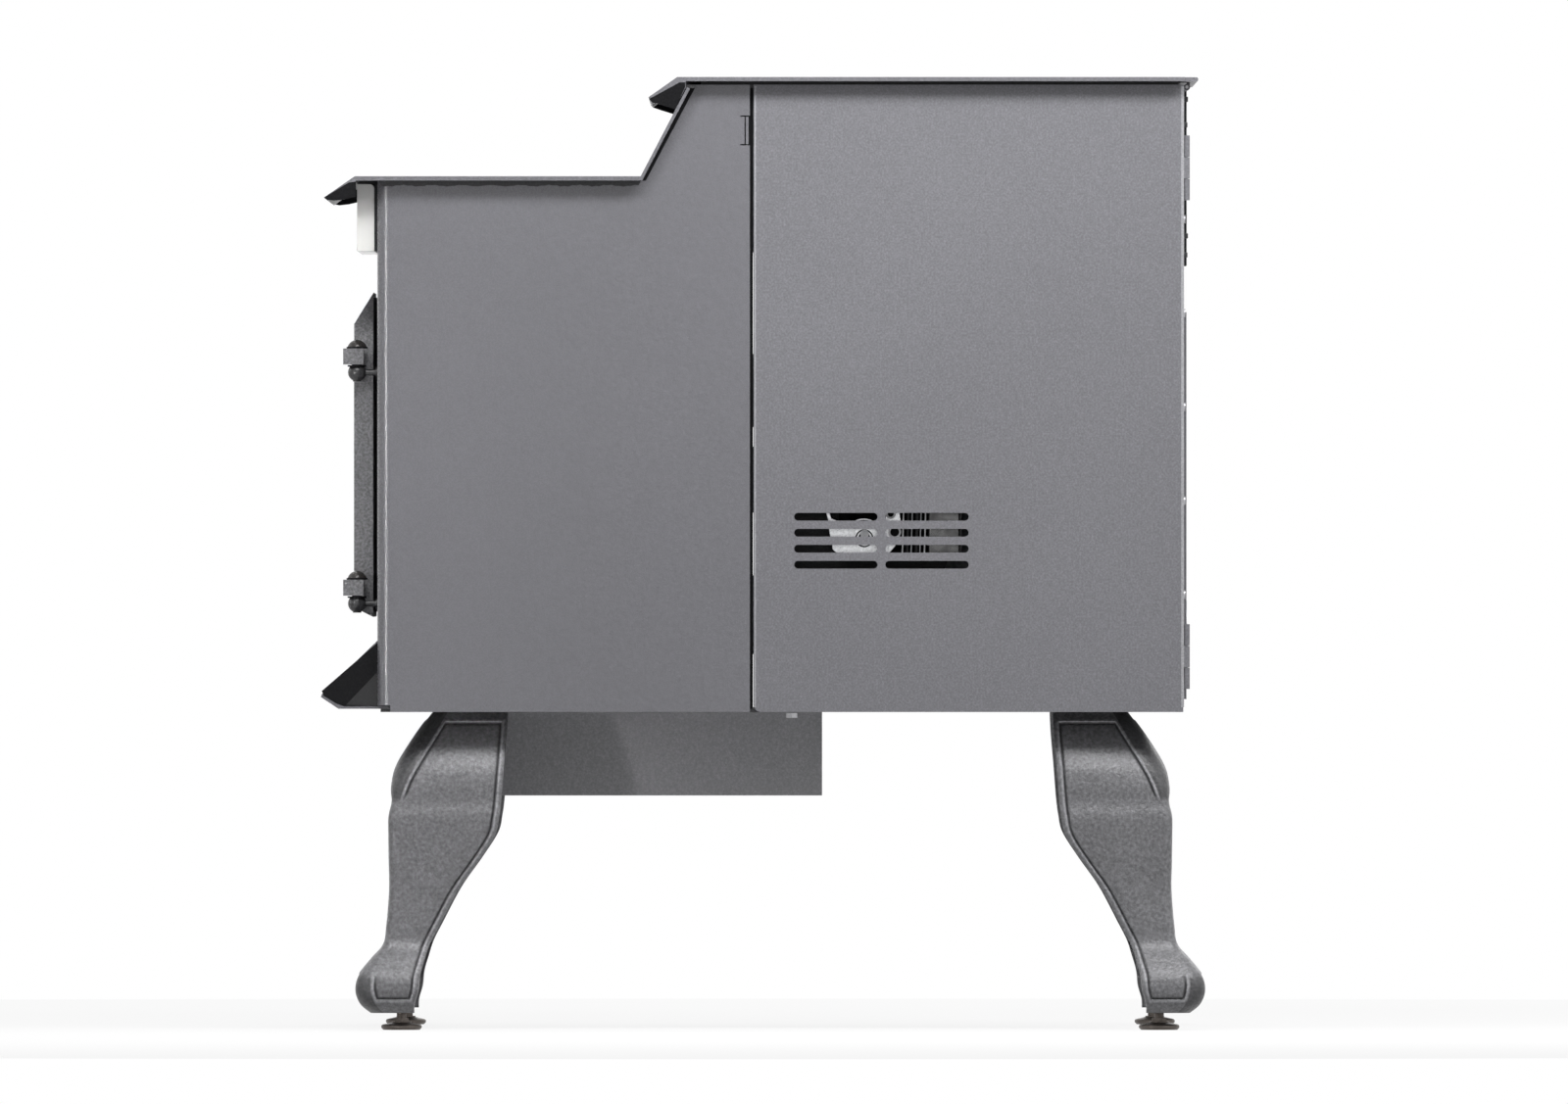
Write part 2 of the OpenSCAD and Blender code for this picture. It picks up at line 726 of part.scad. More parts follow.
module door_frame() {
  color("dimgray") difference() {
    union() {
      intersection() {
        across([[door_back, door_z0], [door_back, door_z1], [door_front, door_z1 - door_bevel],
                [door_front, door_z0 + 9]], -door_w / 2, door_w / 2);
        round_plate(door_w / 2, door_z0, door_z1, 8, door_corner, door_front - past, door_back + past);
      }
      for (z = [hinge_low_z, hinge_high_z]) hinge_lug(z);
    }
    // sunk panel between the outer rim and the rim of the window
    difference() {
      round_plate(door_w / 2 - 18, door_z0 + 24, door_z1 - door_bevel - 4, 6, 50, door_front - past,
          door_front + 3);
      round_plate(window_w / 2 + 12, window_z0 - 12, window_z1 + 8, 16, 30, door_front - 2 * past,
          door_front + 4);
    }
    round_plate(window_w / 2, window_z0, window_z1, 8, 24, door_front - past, door_back);
    bar([-window_w / 2 - glass_lip, door_back - rebate, window_z0 - glass_lip],
        [window_w / 2 + glass_lip, door_back + past, window_z1 + glass_lip]);
    for (s = [-1, 1], t = [-1, 1])
      bar([t * clip_at - clip_w / 2 - seat, door_back - rebate + 1 + glass_t, clip_z(s) - 20],
          [t * clip_at + clip_w / 2 + seat, door_back + past, clip_z(s) + 20]);
    for (z = [hinge_low_z, hinge_high_z]) rod_z(z - past, z + lug_h + past, hinge_x, hinge_y, pin_r + fit);
    rod_y(door_front - past, door_back + past, latch_x, latch_z, 6 + fit);
  }
}

// Height of the middle of the clips above (1) and below (-1) the glass
function clip_z(s) = s > 0 ? window_z1 + glass_lip : window_z0 - glass_lip;

module glass_gasket() {
  x = window_w / 2 + glass_lip - slack;
  color("white") difference() {
    bar([-x, door_back - rebate, window_z0 - glass_lip + slack],
        [x, door_back - rebate + 1, window_z1 + glass_lip - slack]);
    bar([-window_w / 2, door_back - rebate - past, window_z0], [window_w / 2, door_back, window_z1]);
  }
}

module door_glass() {
  x = window_w / 2 + glass_lip - slack;
  y0 = door_back - rebate + 1;
  color([0.12, 0.12, 0.13, 0.6])
    bar([-x, y0, window_z0 - glass_lip + slack], [x, y0 + glass_t, window_z1 + glass_lip - slack]);
}

// Small plates screwed to the casting, each over the glass's edge
module glass_clips() {
  y0 = door_back - rebate + 1 + glass_t;
  color("silver") for (s = [-1, 1], t = [-1, 1]) union() {
    bar([t * clip_at - clip_w / 2, y0, clip_z(s) - 12], [t * clip_at + clip_w / 2, y0 + 1.5, clip_z(s) + 12]);
    rod_y(y0, y0 + 2.8, t * clip_at, clip_z(s) + s * 6, 4);
  }
}

rope = 8;
rope_in = 5;

module door_rope_seal() {
  x = mouth_w / 2 + 4;
  color("black") difference() {
    bar([-x - rope, door_back, door_z0 + rope_in], [x + rope, front_y - seat, door_z1 - rope_in]);
    bar([-x, door_back - past, door_z0 + rope_in + rope], [x, front_y, door_z1 - rope_in - rope]);
  }
}

// Pins with domed heads, fast in the door's lugs
module hinge_pins() {
  color("dimgray") for (z = [hinge_low_z, hinge_high_z]) union() {
    rod_z(z - 2 * ball_r, z + lug_h, hinge_x, hinge_y, pin_r);
    intersection() {
      translate([hinge_x, hinge_y, z + lug_h - 1]) sphere(r = 9.3);
      bar([hinge_x - 10, hinge_y - 10, z + lug_h], [hinge_x + 10, hinge_y + 10, z + lug_h + 10]);
    }
  }
}

// Ball-shaped eyes on studs through the front sheet, with nuts inside
module hinge_studs() {
  color("dimgray") for (z = [hinge_low_z, hinge_high_z]) difference() {
    union() {
      translate([hinge_x, hinge_y, z - ball_drop]) sphere(r = ball_r + 0.6);
      rod_y(hinge_y, front_y + sheet + 8, hinge_x, z - ball_drop, 3 - fit);
      translate([hinge_x, front_y + sheet, z - ball_drop]) rotate([-90, 0, 0])
        cylinder(h = 5, r = 6, $fn = 6);
      rod_y(front_y - 2, front_y, hinge_x, z - ball_drop, 5);
    }
    bar([hinge_x - 12, hinge_y - 12, z], [hinge_x + 12, hinge_y + 12, z + 12]);
    rod_z(z - 3 * ball_r, z + past, hinge_x, hinge_y, pin_r + fit);
  }
}

handle_arm = 44;
grip_l = 118;
grip_r = 7;

// Handle with its shaft through the door and the latch finger behind the front sheet
module door_handle() {
  grip_x = latch_x - handle_arm;
  grip_y = door_back - 10;
  color("black") union() {
    rod_y(door_front - 5.5, front_y + sheet + 5, latch_x, latch_z, 6);
    bar([grip_x, door_front - 5.5, latch_z - grip_r], [latch_x, door_front - 0.5, latch_z + grip_r]);
    rod_y(door_front - 5.5, door_front - 0.5, latch_x, latch_z, 10);
    bar([grip_x - grip_r, door_front - 5.5, latch_z - grip_r], [grip_x + grip_r, grip_y, latch_z + grip_r]);
    rod_z(latch_z - grip_l, latch_z + grip_r, grip_x, grip_y, grip_r);
    translate([grip_x, grip_y, latch_z - grip_l]) sphere(r = grip_r);
    bar([latch_x - 4, front_y + sheet + 1, latch_z - 20], [latch_x + 4, front_y + sheet + 5, latch_z + 20]);
  }
}

// Front outlet for warm air: a frame with slats and ribs
module warm_air_grille() {
  x = grille_w / 2 - seat;
  z0 = grille_z0 + seat;
  z1 = grille_z1 - seat;
  color("black") {
    difference() {
      bar([-x, front_y, z0], [x, front_y + sheet, z1]);
      for (i = [0:2], k = [0:5])
        bar([-x + 3 + k * (2 * x - 3) / 6, front_y - past, z0 + 3 + i * 7.6],
            [-x + (k + 1) * (2 * x - 3) / 6, front_y + sheet + past, z0 + 3 + i * 7.6 + 5]);
    }
  }
}

// Control panel

function button_at(i) = button_x + i * button_pitch;

module control_housing() {
  y0 = front_y - ctrl_d;
  y1 = front_y - ctrl_neck;
  r = 4;
  x = ctrl_w / 2;
  color("ivory") difference() {
    union() {
      bar([-x, y0, ctrl_z0], [x, y1, ctrl_z1 - r]);
      bar([-x, y0, ctrl_z0], [x, y1 - r, ctrl_z1]);
      rod_x(-x, x, y1 - r, ctrl_z1 - r, r);
      // neck against the front sheet
      bar([-x + 8, y1 - past, ctrl_z0 + r], [x - 8, front_y, ctrl_z1 - 2 * r]);
    }
    // recess that holds the display and the buttons
    bar([-58, y0 - past, ctrl_mid_z - 19], [button_at(2) + 16, y0 + ctrl_recess, ctrl_mid_z + 19]);
    for (i = [0:2]) rod_y(y0 - past, y0 + button_bore, button_at(i), ctrl_mid_z, button_r + seat);
    bar([-50, y0 - past, ctrl_mid_z - 14], [30, y0 + ctrl_recess + 3, ctrl_mid_z + 14]);
  }
}

module display_window() {
  y0 = front_y - ctrl_d + ctrl_recess;
  color("black")
    bar([-50 + seat, y0 + 0.5, ctrl_mid_z - 14 + seat], [30 - seat, y0 + 3, ctrl_mid_z + 14 - seat]);
}

// Push button: a cap on a stem that fills its bore but for the travel
module button(i) {
  y0 = front_y - ctrl_d;
  color("dimgray")
    rod_y(y0 + seat, y0 + button_bore - button_travel - seat, button_at(i), ctrl_mid_z, button_r);
}

module button_1() { button(0); }
module button_2() { button(1); }
module button_3() { button(2); }

// Fire

module firebox() {
  p = fire_plate;
  color("gray") difference() {
    bar([-fire_x, fire_y0, fire_z0], [fire_x, fire_y1, fire_z1]);
    bar([-fire_x + p, fire_y0 + p, fire_z0 + p], [fire_x - p, fire_y1 - p, fire_z1 - p]);
    bar([-mouth_w / 2, fire_y0 - past, mouth_z0], [mouth_w / 2, fire_y0 + p + past, mouth_z1]);
    // pellets, smoke and air pass through the back
    bar([-feed_w / 2, fire_y1 - p - past, feed_z0], [feed_w / 2, fire_y1 + past, feed_z1]);
    bar([smoke_x0 + 4, fire_y1 - p - past, smoke_z - 22], [smoke_x1 - 4, fire_y1 + past, smoke_z + 22]);
    rod_y(fire_y1 - p - past, fire_y1 + past, air_x, air_z, air_r - pipe_wall - 2);
    // ash falls through the floor
    bar([-pot_w / 2, pot_y - pot_d / 2, fire_z0 - past], [pot_w / 2, pot_y + pot_d / 2, fire_z0 + p + past]);
  }
}

smoke_x0 = -140;
smoke_x1 = -94;
smoke_z = exhaust_z;
brick_top = feed_z0 - fire_z0 - 12;

// Cast fireback with a raised brick pattern
module brick_panel() {
  x = fire_x - fire_plate - slack;
  y1 = fire_y1 - fire_plate;
  z0 = fire_z0 + fire_plate;
  courses = 6;
  course = brick_top / courses;
  brick = 2 * x / 5;
  y0 = y1 - 12;
  color("tan") difference() {
    bar([-x, y0, z0], [x, y1, z0 + brick_top]);
    for (i = [1:courses - 1])
      bar([-x - past, y0 - past, z0 + i * course - 1.5], [x + past, y0 + 2.5, z0 + i * course + 1.5]);
    for (i = [0:courses - 1], k = [1:5])
      translate([-x + (k - (i % 2) / 2) * brick - 1.5, y0 - past, z0 + i * course])
        cube([3, 2.5 + past, course]);
    // smoke and air pass through
    bar([smoke_x0 + 4, y0 - past, smoke_z - 22], [smoke_x1 - 4, y1 + past, smoke_z + 22]);
    rod_y(y0 - past, y1 + past, air_x, air_z, air_r - pipe_wall - 2);
  }
}

module pot_carrier() {
  z0 = fire_z0 + fire_plate;
  color("dimgray") difference() {
    bar([-pot_w / 2 - 15, pot_y - pot_d / 2 - 15, z0], [pot_w / 2 + 15, pot_y + pot_d / 2 + 15, carrier_top]);
    bar([-pot_w / 2 - slack, pot_y - pot_d / 2 - slack, z0 - past],
        [pot_w / 2 + slack, pot_y + pot_d / 2 + slack, carrier_top + past]);
    rod_y(pot_y, pot_y + pot_d, 0, z0 + 24, igniter_r + seat);
  }
}

igniter_r = 5;

// Cast burn pot, hung by its rim in the carrier, with air holes in its floor
module burn_pot() {
  z0 = fire_z0 + fire_plate + 3;
  wall = 4;
  color("dimgray") difference() {
    union() {
      bar([-pot_w / 2, pot_y - pot_d / 2, z0], [pot_w / 2, pot_y + pot_d / 2, pot_top]);
      bar([-pot_w / 2 - 9, pot_y - pot_d / 2 - 9, carrier_top],
          [pot_w / 2 + 9, pot_y + pot_d / 2 + 9, pot_top]);
    }
    bar([-pot_w / 2 + wall, pot_y - pot_d / 2 + wall, z0 + wall],
        [pot_w / 2 - wall, pot_y + pot_d / 2 - wall, pot_top + past]);
    for (i = [-2:2], k = [-1:1]) rod_z(z0 - past, z0 + wall + past, i * 13, pot_y + k * 16, 2.5);
  }
}

// Hot-surface igniter in the carrier's rear wall
module igniter() {
  color("silver")
    rod_y(pot_y + pot_d / 2 + slack + 1, pot_y + pot_d / 2 + 60, 0, fire_z0 + fire_plate + 24, igniter_r);
}

module ash_chute() {
  x = pot_w / 2 + 6;
  y = pot_d / 2 + 6;
  color("gray") difference() {
    bar([-x - 2, pot_y - y - 2, base_top], [x + 2, pot_y + y + 2, fire_z0]);
    bar([-x, pot_y - y, base_top - past], [x, pot_y + y, fire_z0 + past]);
  }
}

plenum_d = 46;

// Tubes that carry room air over the fire, between a front header and the rear plenum
module heat_exchanger() {
  z = fire_z1 + 6 + (grille_z1 - grille_z0) / 2;
  x = grille_w / 2;
  z0 = fire_z1;
  z1 = grille_z1 + 4;
  pitch = (2 * x - 2 * tube_r - 12) / (tubes_n - 1);
  color("gray") difference() {
    union() {
      bar([-x - 4, front_y + sheet, z0], [x + 4, front_y + sheet + 8, z1]);
      bar([-x, fire_y1, z0 + 2], [x, fire_y1 + plenum_d, z1]);
      for (i = [0:tubes_n - 1])
        rod_y(front_y + sheet + 2, fire_y1 + 3, (i - (tubes_n - 1) / 2) * pitch, z, tube_r);
    }
    bar([-x + 2, fire_y1 + 2, z0 + 4], [x - 2, fire_y1 + plenum_d - 2, z1 - 2]);
    bar([-x, front_y + sheet - past, grille_z0], [x, front_y + sheet + 6, grille_z1]);
    for (i = [0:tubes_n - 1])
      rod_y(front_y, fire_y1 + 10, (i - (tubes_n - 1) / 2) * pitch, z, tube_r - 2);
    bar([duct_x0 + 2, fire_y1 + 8, z0], [duct_x1 - 2, fire_y1 + plenum_d - 6, z0 + 6]);
  }
}

// Fuel feed

// Hopper: straight above, a funnel below, down to the auger's throat
module hopper() {
  s = hopper_sheet;
  color("silver") difference() {
    union() {
      bar([-hopper_w / 2, hopper_y0, hopper_straight_z], [hopper_w / 2, hopper_y1, deck_z]);
      hull() {
        bar([-hopper_w / 2, hopper_y0, hopper_straight_z], [hopper_w / 2, hopper_y1, hopper_straight_z + 1]);
        bar([-throat_w / 2 - s, throat_y - throat_d / 2 - s, throat_z],
            [throat_w / 2 + s, throat_y + throat_d / 2 + s, throat_z + 1]);
      }
    }
    bar([-hopper_w / 2 + s, hopper_y0 + s, hopper_straight_z],
        [hopper_w / 2 - s, hopper_y1 - s, deck_z + past]);
    hull() {
      bar([-hopper_w / 2 + s, hopper_y0 + s, hopper_straight_z],
          [hopper_w / 2 - s, hopper_y1 - s, hopper_straight_z + 1]);
      bar([-throat_w / 2, throat_y - throat_d / 2, throat_z - past],
          [throat_w / 2, throat_y + throat_d / 2, throat_z + 1]);
    }
  }
}

// Places its children in the auger's frame: Z along the auger, upwards to the fire
module on_auger() {
  translate([0, auger_y, auger_z]) rotate([90 - auger_slope, 0, 0]) children();
}

// Height of the auger's axis at a depth y
function auger_axis_z(y) = auger_z + (auger_y - y) * tan(auger_slope);

module auger_tube() {
  r0 = auger_bore / 2;
  end = [auger_y - auger_l * cos(auger_slope), auger_z + auger_l * sin(auger_slope)];
  n = [sin(auger_slope), cos(auger_slope)];
  back = 6 * [cos(auger_slope), -sin(auger_slope)];
  w = r0 + 1;
  y0 = throat_y - throat_d / 2;
  y1 = throat_y + throat_d / 2;
  x1 = throat_w / 2;
  color("gray") difference() {
    union() {
      on_auger() cylinder(h = auger_l, r = auger_tube_r);
      on_auger() cylinder(h = 4, r = auger_tube_r + 6);
      // neck up to the hopper
      across([[y0 - 2, auger_axis_z(y0 - 2)], [y1 + 2, auger_axis_z(y1 + 2)],
              [y1 + 2, throat_z], [y0 - 2, throat_z]], -x1 - 2, x1 + 2);
      // chute from the tube's end down to the fire
      across([[fire_y1, feed_z0 - 2], [fire_y1, feed_z1 + 2],
              end + n * (w + 2) + back, end - n * (w + 2) + back], -w - 2, w + 2);
    }
    on_auger() translate([0, 0, 4]) cylinder(h = auger_l - 4 + past, r = r0);
    on_auger() translate([0, 0, -past]) cylinder(h = 8, r = auger_shaft_r + fit);
    across([[y0, auger_axis_z(y0)], [y1, auger_axis_z(y1)],
            [y1, throat_z + past], [y0, throat_z + past]], -x1, x1);
    across([[fire_y1 - past, feed_z0], [fire_y1 - past, feed_z1],
            end + n * w, end - n * w], -w, w);
  }
}

turns_n = 5.5;
turn_steps = 14;

// One station of the flight: inner and outer edge, on both faces
function flight_ring(a, r0, r1, t) =
  let (z = a / 360 * auger_pitch)
  [[r0 * cos(a), r0 * sin(a), z + t], [r1 * cos(a), r1 * sin(a), z + t],
   [r1 * cos(a), r1 * sin(a), z], [r0 * cos(a), r0 * sin(a), z]];

// Joins equal rings of points into one closed skin of triangles
module skin(rings) {
  n = len(rings[0]);
  m = len(rings);
  points = [for (ring = rings, p = ring) p];
  sides = [for (i = [0:m - 2], j = [0:n - 1])
    each let (a = i * n + j, b = i * n + (j + 1) % n)
      [[a, a + n, b], [b, a + n, b + n]]];
  cap0 = [for (j = [1:n - 2]) [0, j, j + 1]];
  cap1 = [for (j = [1:n - 2]) [(m - 1) * n, (m - 1) * n + j + 1, (m - 1) * n + j]];
  polyhedron(points, concat(sides, cap0, cap1));
}

module auger_screw() {
  steps = turns_n * turn_steps;
  color("silver") on_auger() union() {
    translate([0, 0, -20]) cylinder(h = auger_l + 12, r = auger_shaft_r);
    translate([0, 0, 10])
      skin([for (i = [0:steps]) flight_ring(i * 360 / turn_steps, auger_shaft_r - 1.5,
          auger_bore / 2 - 1.5, 3)]);
  }
}

// Gearbox with a motor can on its side
module auger_gearmotor() {
  color("silver") on_auger() difference() {
    union() {
      bar([-34, -34, -44], [34, 34, 0]);
      translate([0, 8, -96]) cylinder(h = 52, r = 28);
      translate([0, 8, -102]) cylinder(h = 6, r = 12);
    }
    translate([0, 0, -22]) cylinder(h = 24, r = auger_shaft_r + fit);
  }
}

// Exhaust

module exhaust_blower() {
  x0 = exhaust_x - exhaust_w / 2;
  x1 = exhaust_x + exhaust_w / 2;
  color("silver") difference() {
    union() {
      rod_x(x0, x1, exhaust_y, exhaust_z, exhaust_r);
      // outlet to the flue collar
      rod_y(exhaust_y, flue_y0, exhaust_x, flue_z, flue_r);
      // duct from the firebox
      bar([smoke_x0, fire_y1, smoke_z - 26], [smoke_x1, exhaust_y + 30, smoke_z + 26]);
      bar([x1 - 2, exhaust_y - 30, smoke_z - 26], [smoke_x0 + 2, exhaust_y + 30, smoke_z + 26]);
      rod_x(x0 - 56, x0 - 6, exhaust_y, exhaust_z, 34);
      rod_x(x0 - 8, x0, exhaust_y, exhaust_z, 12);
    }
    rod_x(x0 + 4, x1 - 4, exhaust_y, exhaust_z, exhaust_r - 5);
    rod_y(exhaust_y + 10, flue_y0 + past, exhaust_x, flue_z, flue_r - 8);
    bar([smoke_x0 + 3, fire_y1 - past, smoke_z - 23], [smoke_x1 - 3, exhaust_y + 27, smoke_z + 23]);
    bar([x1 - 6, exhaust_y - 22, smoke_z - 22], [smoke_x0 + 4, exhaust_y + 22, smoke_z + 22]);
    rod_x(x0 - 40, x0 + 5, exhaust_y, exhaust_z, 4 + fit);
  }
}

// Backplate with straight paddles on a shaft
module exhaust_impeller() {
  x0 = exhaust_x - exhaust_w / 2;
  color("silver") union() {
    rod_x(x0 - 38, x0 + 40, exhaust_y, exhaust_z, 4);
    rod_x(x0 + 10, x0 + 40, exhaust_y, exhaust_z, 9);
    rod_x(x0 + 10, x0 + 13, exhaust_y, exhaust_z, 58);
    for (i = [0:7])
      translate([x0 + 11, exhaust_y, exhaust_z]) rotate([i * 45, 0, 0]) translate([0, 7, -1.5])
        cube([36, 49, 3]);
  }
}

// Collar for a flue pipe, with a flange on the blower's outlet
module flue_collar() {
  color("gray") difference() {
    union() {
      rod_y(flue_y0, outlet_y, exhaust_x, flue_z, flue_r);
      rod_y(flue_y0, flue_y0 + 4, exhaust_x, flue_z, flue_r + 8);
    }
    rod_y(flue_y0 - past, outlet_y + past, exhaust_x, flue_z, flue_r - pipe_wall);
  }
}

module fresh_air_pipe() {
  color("silver") difference() {
    rod_y(fire_y1, outlet_y, air_x, air_z, air_r);
    rod_y(fire_y1 - past, outlet_y + past, air_x, air_z, air_r - pipe_wall);
  }
}

// Room air

duct_x0 = scroll_x0 + 10;
duct_x1 = scroll_x0 + scroll_w - 25;

// Scroll housing, its outlet to the front and the duct up behind the firebox
module convection_blower() {
  x1 = scroll_x0 + scroll_w;
  z1 = wheel_z + scroll_r;
  duct_z = fire_z1 + 2;
  color("gray") difference() {
    union() {
      rod_x(scroll_x0, x1, wheel_y, wheel_z, scroll_r);
      bar([duct_x0, fire_y1 + 6, z1 - 62], [duct_x1, wheel_y, z1]);
      bar([duct_x0, fire_y1 + 6, z1 - 62], [duct_x1, fire_y1 + plenum_d - 4, duct_z]);
      // bracket arms that carry the motor
      for (a = [45:90:315])
        translate([0, wheel_y + 33 * cos(a), wheel_z + 24 * sin(a)]) rod_x(x1 - 1, motor_x, 0, 0, 3.5);
    }
    rod_x(scroll_x0 + 2, x1 - 2, wheel_y, wheel_z, scroll_r - 2);
    bar([duct_x0 + 2, fire_y1 + 8, z1 - 60], [duct_x1 - 2, wheel_y, z1 - 2]);
    bar([duct_x0 + 2, fire_y1 + 8, z1 - 60], [duct_x1 - 2, fire_y1 + plenum_d - 6, duct_z + past]);
    rod_x(scroll_x0 - past, scroll_x0 + 3, wheel_y, wheel_z, wheel_r - 8);
    rod_x(x1 - 3, x1 + past, wheel_y, wheel_z, 8);
  }
}

// Squirrel-cage wheel on the motor's shaft
module convection_wheel() {
  x0 = scroll_x0 + 8;
  x1 = scroll_x0 + scroll_w - 10;
  blades = 24;
  color("silver") union() {
    difference() {
      rod_x(x1 - 2, x1, wheel_y, wheel_z, wheel_r);
      for (a = [0:72:359]) translate([0, wheel_y + 28 * cos(a), wheel_z + 28 * sin(a)])
        rod_x(x1 - 3, x1 + 1, 0, 0, 9);
    }
    difference() {
      rod_x(x0, x0 + 3, wheel_y, wheel_z, wheel_r);
      rod_x(x0 - past, x0 + 4, wheel_y, wheel_z, wheel_r - 10);
    }
    for (i = [0:blades - 1])
      translate([x0 + 1, wheel_y, wheel_z]) rotate([i * 360 / blades, 0, 0]) translate([0, wheel_r - 9, 0])
        rotate([30, 0, 0]) cube([x1 - x0 - 2, 8, 1]);
    rod_x(x1 - 14, x1, wheel_y, wheel_z, 9);
    rod_x(x1 - 10, motor_x + 48, wheel_y, wheel_z, motor_shaft_r);
  }
}

// Shaded-pole motor: a stack of laminations, its coil, and die-cast bearing brackets
module convection_motor() {
  stack_y0 = wheel_y - 24;
  bracket = 4;
  color("silver") difference() {
    union() {
      bar([motor_x, stack_y0, wheel_z - 26], [motor_x + 25, stack_y0 + 84, wheel_z + 26]);
      // bearing bracket and its boss, towards the louvres
      bar([motor_x + 25, wheel_y - 23, wheel_z - 7], [motor_x + 38, wheel_y + 23, wheel_z + 7]);
      rod_x(motor_x + 25, motor_x + 44, wheel_y, wheel_z, 9.5);
      for (s = [-1, 1], t = [-1, 1])
        rod_x(motor_x + 25, motor_x + 34, wheel_y + s * 19, wheel_z + t * 16, 5);
      bar([motor_x + 25, wheel_y - 24, wheel_z - 20], [motor_x + 30, wheel_y - 14, wheel_z + 20]);
      bar([motor_x + 25, wheel_y + 14, wheel_z - 20], [motor_x + 30, wheel_y + 24, wheel_z + 20]);
      // coil round the rear limb of the stack
      bar([motor_x - 7, wheel_y + 34, wheel_z - 20], [motor_x + 32, wheel_y + 56, wheel_z + 20]);
    }
    rod_x(motor_x - 8, motor_x + 50, wheel_y, wheel_z, motor_shaft_r + fit);
  }
}

// Electrics

board_x = -hopper_w / 2;

// Circuit board on standoffs on the hopper's wall
module control_board() {
  z0 = hopper_straight_z + 12;
  color("green") union() {
    bar([board_x - 10, 40, z0], [board_x - 8, 160, z0 + 90]);
    for (y = [48, 152], z = [z0 + 8, z0 + 82]) rod_x(board_x - 8, board_x, y, z, 4);
    bar([board_x - 28, 60, z0 + 12], [board_x - 10, 92, z0 + 42]);
    bar([board_x - 24, 104, z0 + 14], [board_x - 10, 148, z0 + 30]);
    for (i = [0:4]) bar([board_x - 22, 54 + i * 20, z0 + 60], [board_x - 10, 68 + i * 20, z0 + 72]);
  }
}

module power_inlet() {
  color("black") difference() {
    union() {
      bar([inlet_x - 14, back_y - 24, inlet_z - 10], [inlet_x + 14, back_y + 1.5, inlet_z + 10]);
      bar([inlet_x - 24, back_y, inlet_z - 12], [inlet_x + 24, back_y + 1.5, inlet_z + 12]);
    }
    bar([inlet_x - 11, back_y - 16, inlet_z - 7], [inlet_x + 11, back_y + 3, inlet_z + 7]);
  }
}

// Legs

// Catmull-Rom value between b and c
function spline(a, b, c, d, t) =
  0.5 * (2 * b + (c - a) * t + (2 * a - 5 * b + 4 * c - d) * t * t + (3 * b - a - 3 * c + d) * t * t * t);

// Station k of the leg's curve, counted in whole and part steps
function leg_station(k) =
  let (n = len(leg_curve), i = min(floor(k), n - 2), t = k - i,
       a = leg_curve[max(i - 1, 0)], b = leg_curve[i], c = leg_curve[i + 1], d = leg_curve[min(i + 2, n - 1)])
  [for (j = [0:3]) spline(a[j], b[j], c[j], d[j], t)];

// How thick the casting is at a given share of its height: a solid toe below the ankle
function leg_thick(f, w) = f < 0.78 ? leg_wall : min(w - 2, leg_wall + (f - 0.78) * 420);

// Half of a station's outline in the frame of the corner: [along the wing, depth below its face]
function wing(w, r, t, g) = [
  [r * 0.293, r * 0.293], [r * 0.617, r * 0.076], [r, 0], [r + leg_rim, 0], [r + leg_rim + 1.5, g],
  [w - leg_rim - 1.5, g], [w - leg_rim, 0], [w - 1, 0], [w, 1.2], [w, t]];

// Full ring of a station: corner at the origin, one wing along +X and the other along +Y
function leg_ring(w, r, t, g) =
  let (h = wing(w, r, t, g), n = len(h))
  concat([for (p = h) [p[0], p[1]]], [[t, t]], [for (i = [n - 1:-1:1]) [h[i][1], h[i][0]]]);

// Leg casting, its top corner at the origin and its height downwards; the corner points to -X, -Y
module leg_casting() {
  last = (len(leg_curve) - 1) * leg_steps;
  rings = [for (k = [last:-1:0])
    let (s = leg_station(k / leg_steps), f = s[0], w = s[2], r = s[3], t = leg_thick(f, w),
         g = f < 0.03 || f > 0.94 ? 0.2 : leg_groove)
    [for (p = leg_ring(w, r, t, g)) [p[0] - s[1], p[1] - s[1], -f * leg_h]]];
  difference() {
    union() {
      skin(rings);
      // pad that bolts to the casing
      bar([leg_wall - 1, leg_wall - 1, -pad_h], [pad_w, pad_w, 0]);
    }
    translate([-glide_in, -glide_in, -leg_h - past]) cylinder(h = 34, r = glide_screw / 2 + seat);
    translate([bolt_in, bolt_in, -pad_h - past]) cylinder(h = pad_h + 2 * past, r = leg_bolt_r + fit);
  }
}

// The four corners: s is the side, t is the end
module at_leg(s, t) {
  x = s * leg_corner_x;
  y = t < 0 ? leg_front_y : leg_rear_y;
  translate([x, y, leg_z1]) mirror([s > 0 ? 1 : 0, 0, 0]) mirror([0, t > 0 ? 1 : 0, 0]) children();
}

module leg_front_right() { color("gray") at_leg(1, -1) leg_casting(); }
module leg_front_left() { color("gray") at_leg(-1, -1) leg_casting(); }
module leg_rear_right() { color("gray") at_leg(1, 1) leg_casting(); }
module leg_rear_left() { color("gray") at_leg(-1, 1) leg_casting(); }

// Levelling foot: a dished disc, a nut and a screw up into the leg
module leveller(s, t) {
  disc = 5;
  down = leg_z0;
  color("tan") at_leg(s, t) translate([-glide_in, -glide_in, -leg_z1]) union() {
    rotate_extrude() polygon([[0, 0], [glide_d / 2 - 2, 0], [glide_d / 2, 2], [glide_d / 2, disc - 1],
                              [glide_d / 2 - 1, disc], [glide_screw, disc + 2], [glide_screw, disc + 3],
                              [0, disc + 3]]);
    translate([0, 0, disc]) cylinder(h = 6, r = 7.5, $fn = 6);
    cylinder(h = down + 28, r = glide_screw / 2);
  }
}

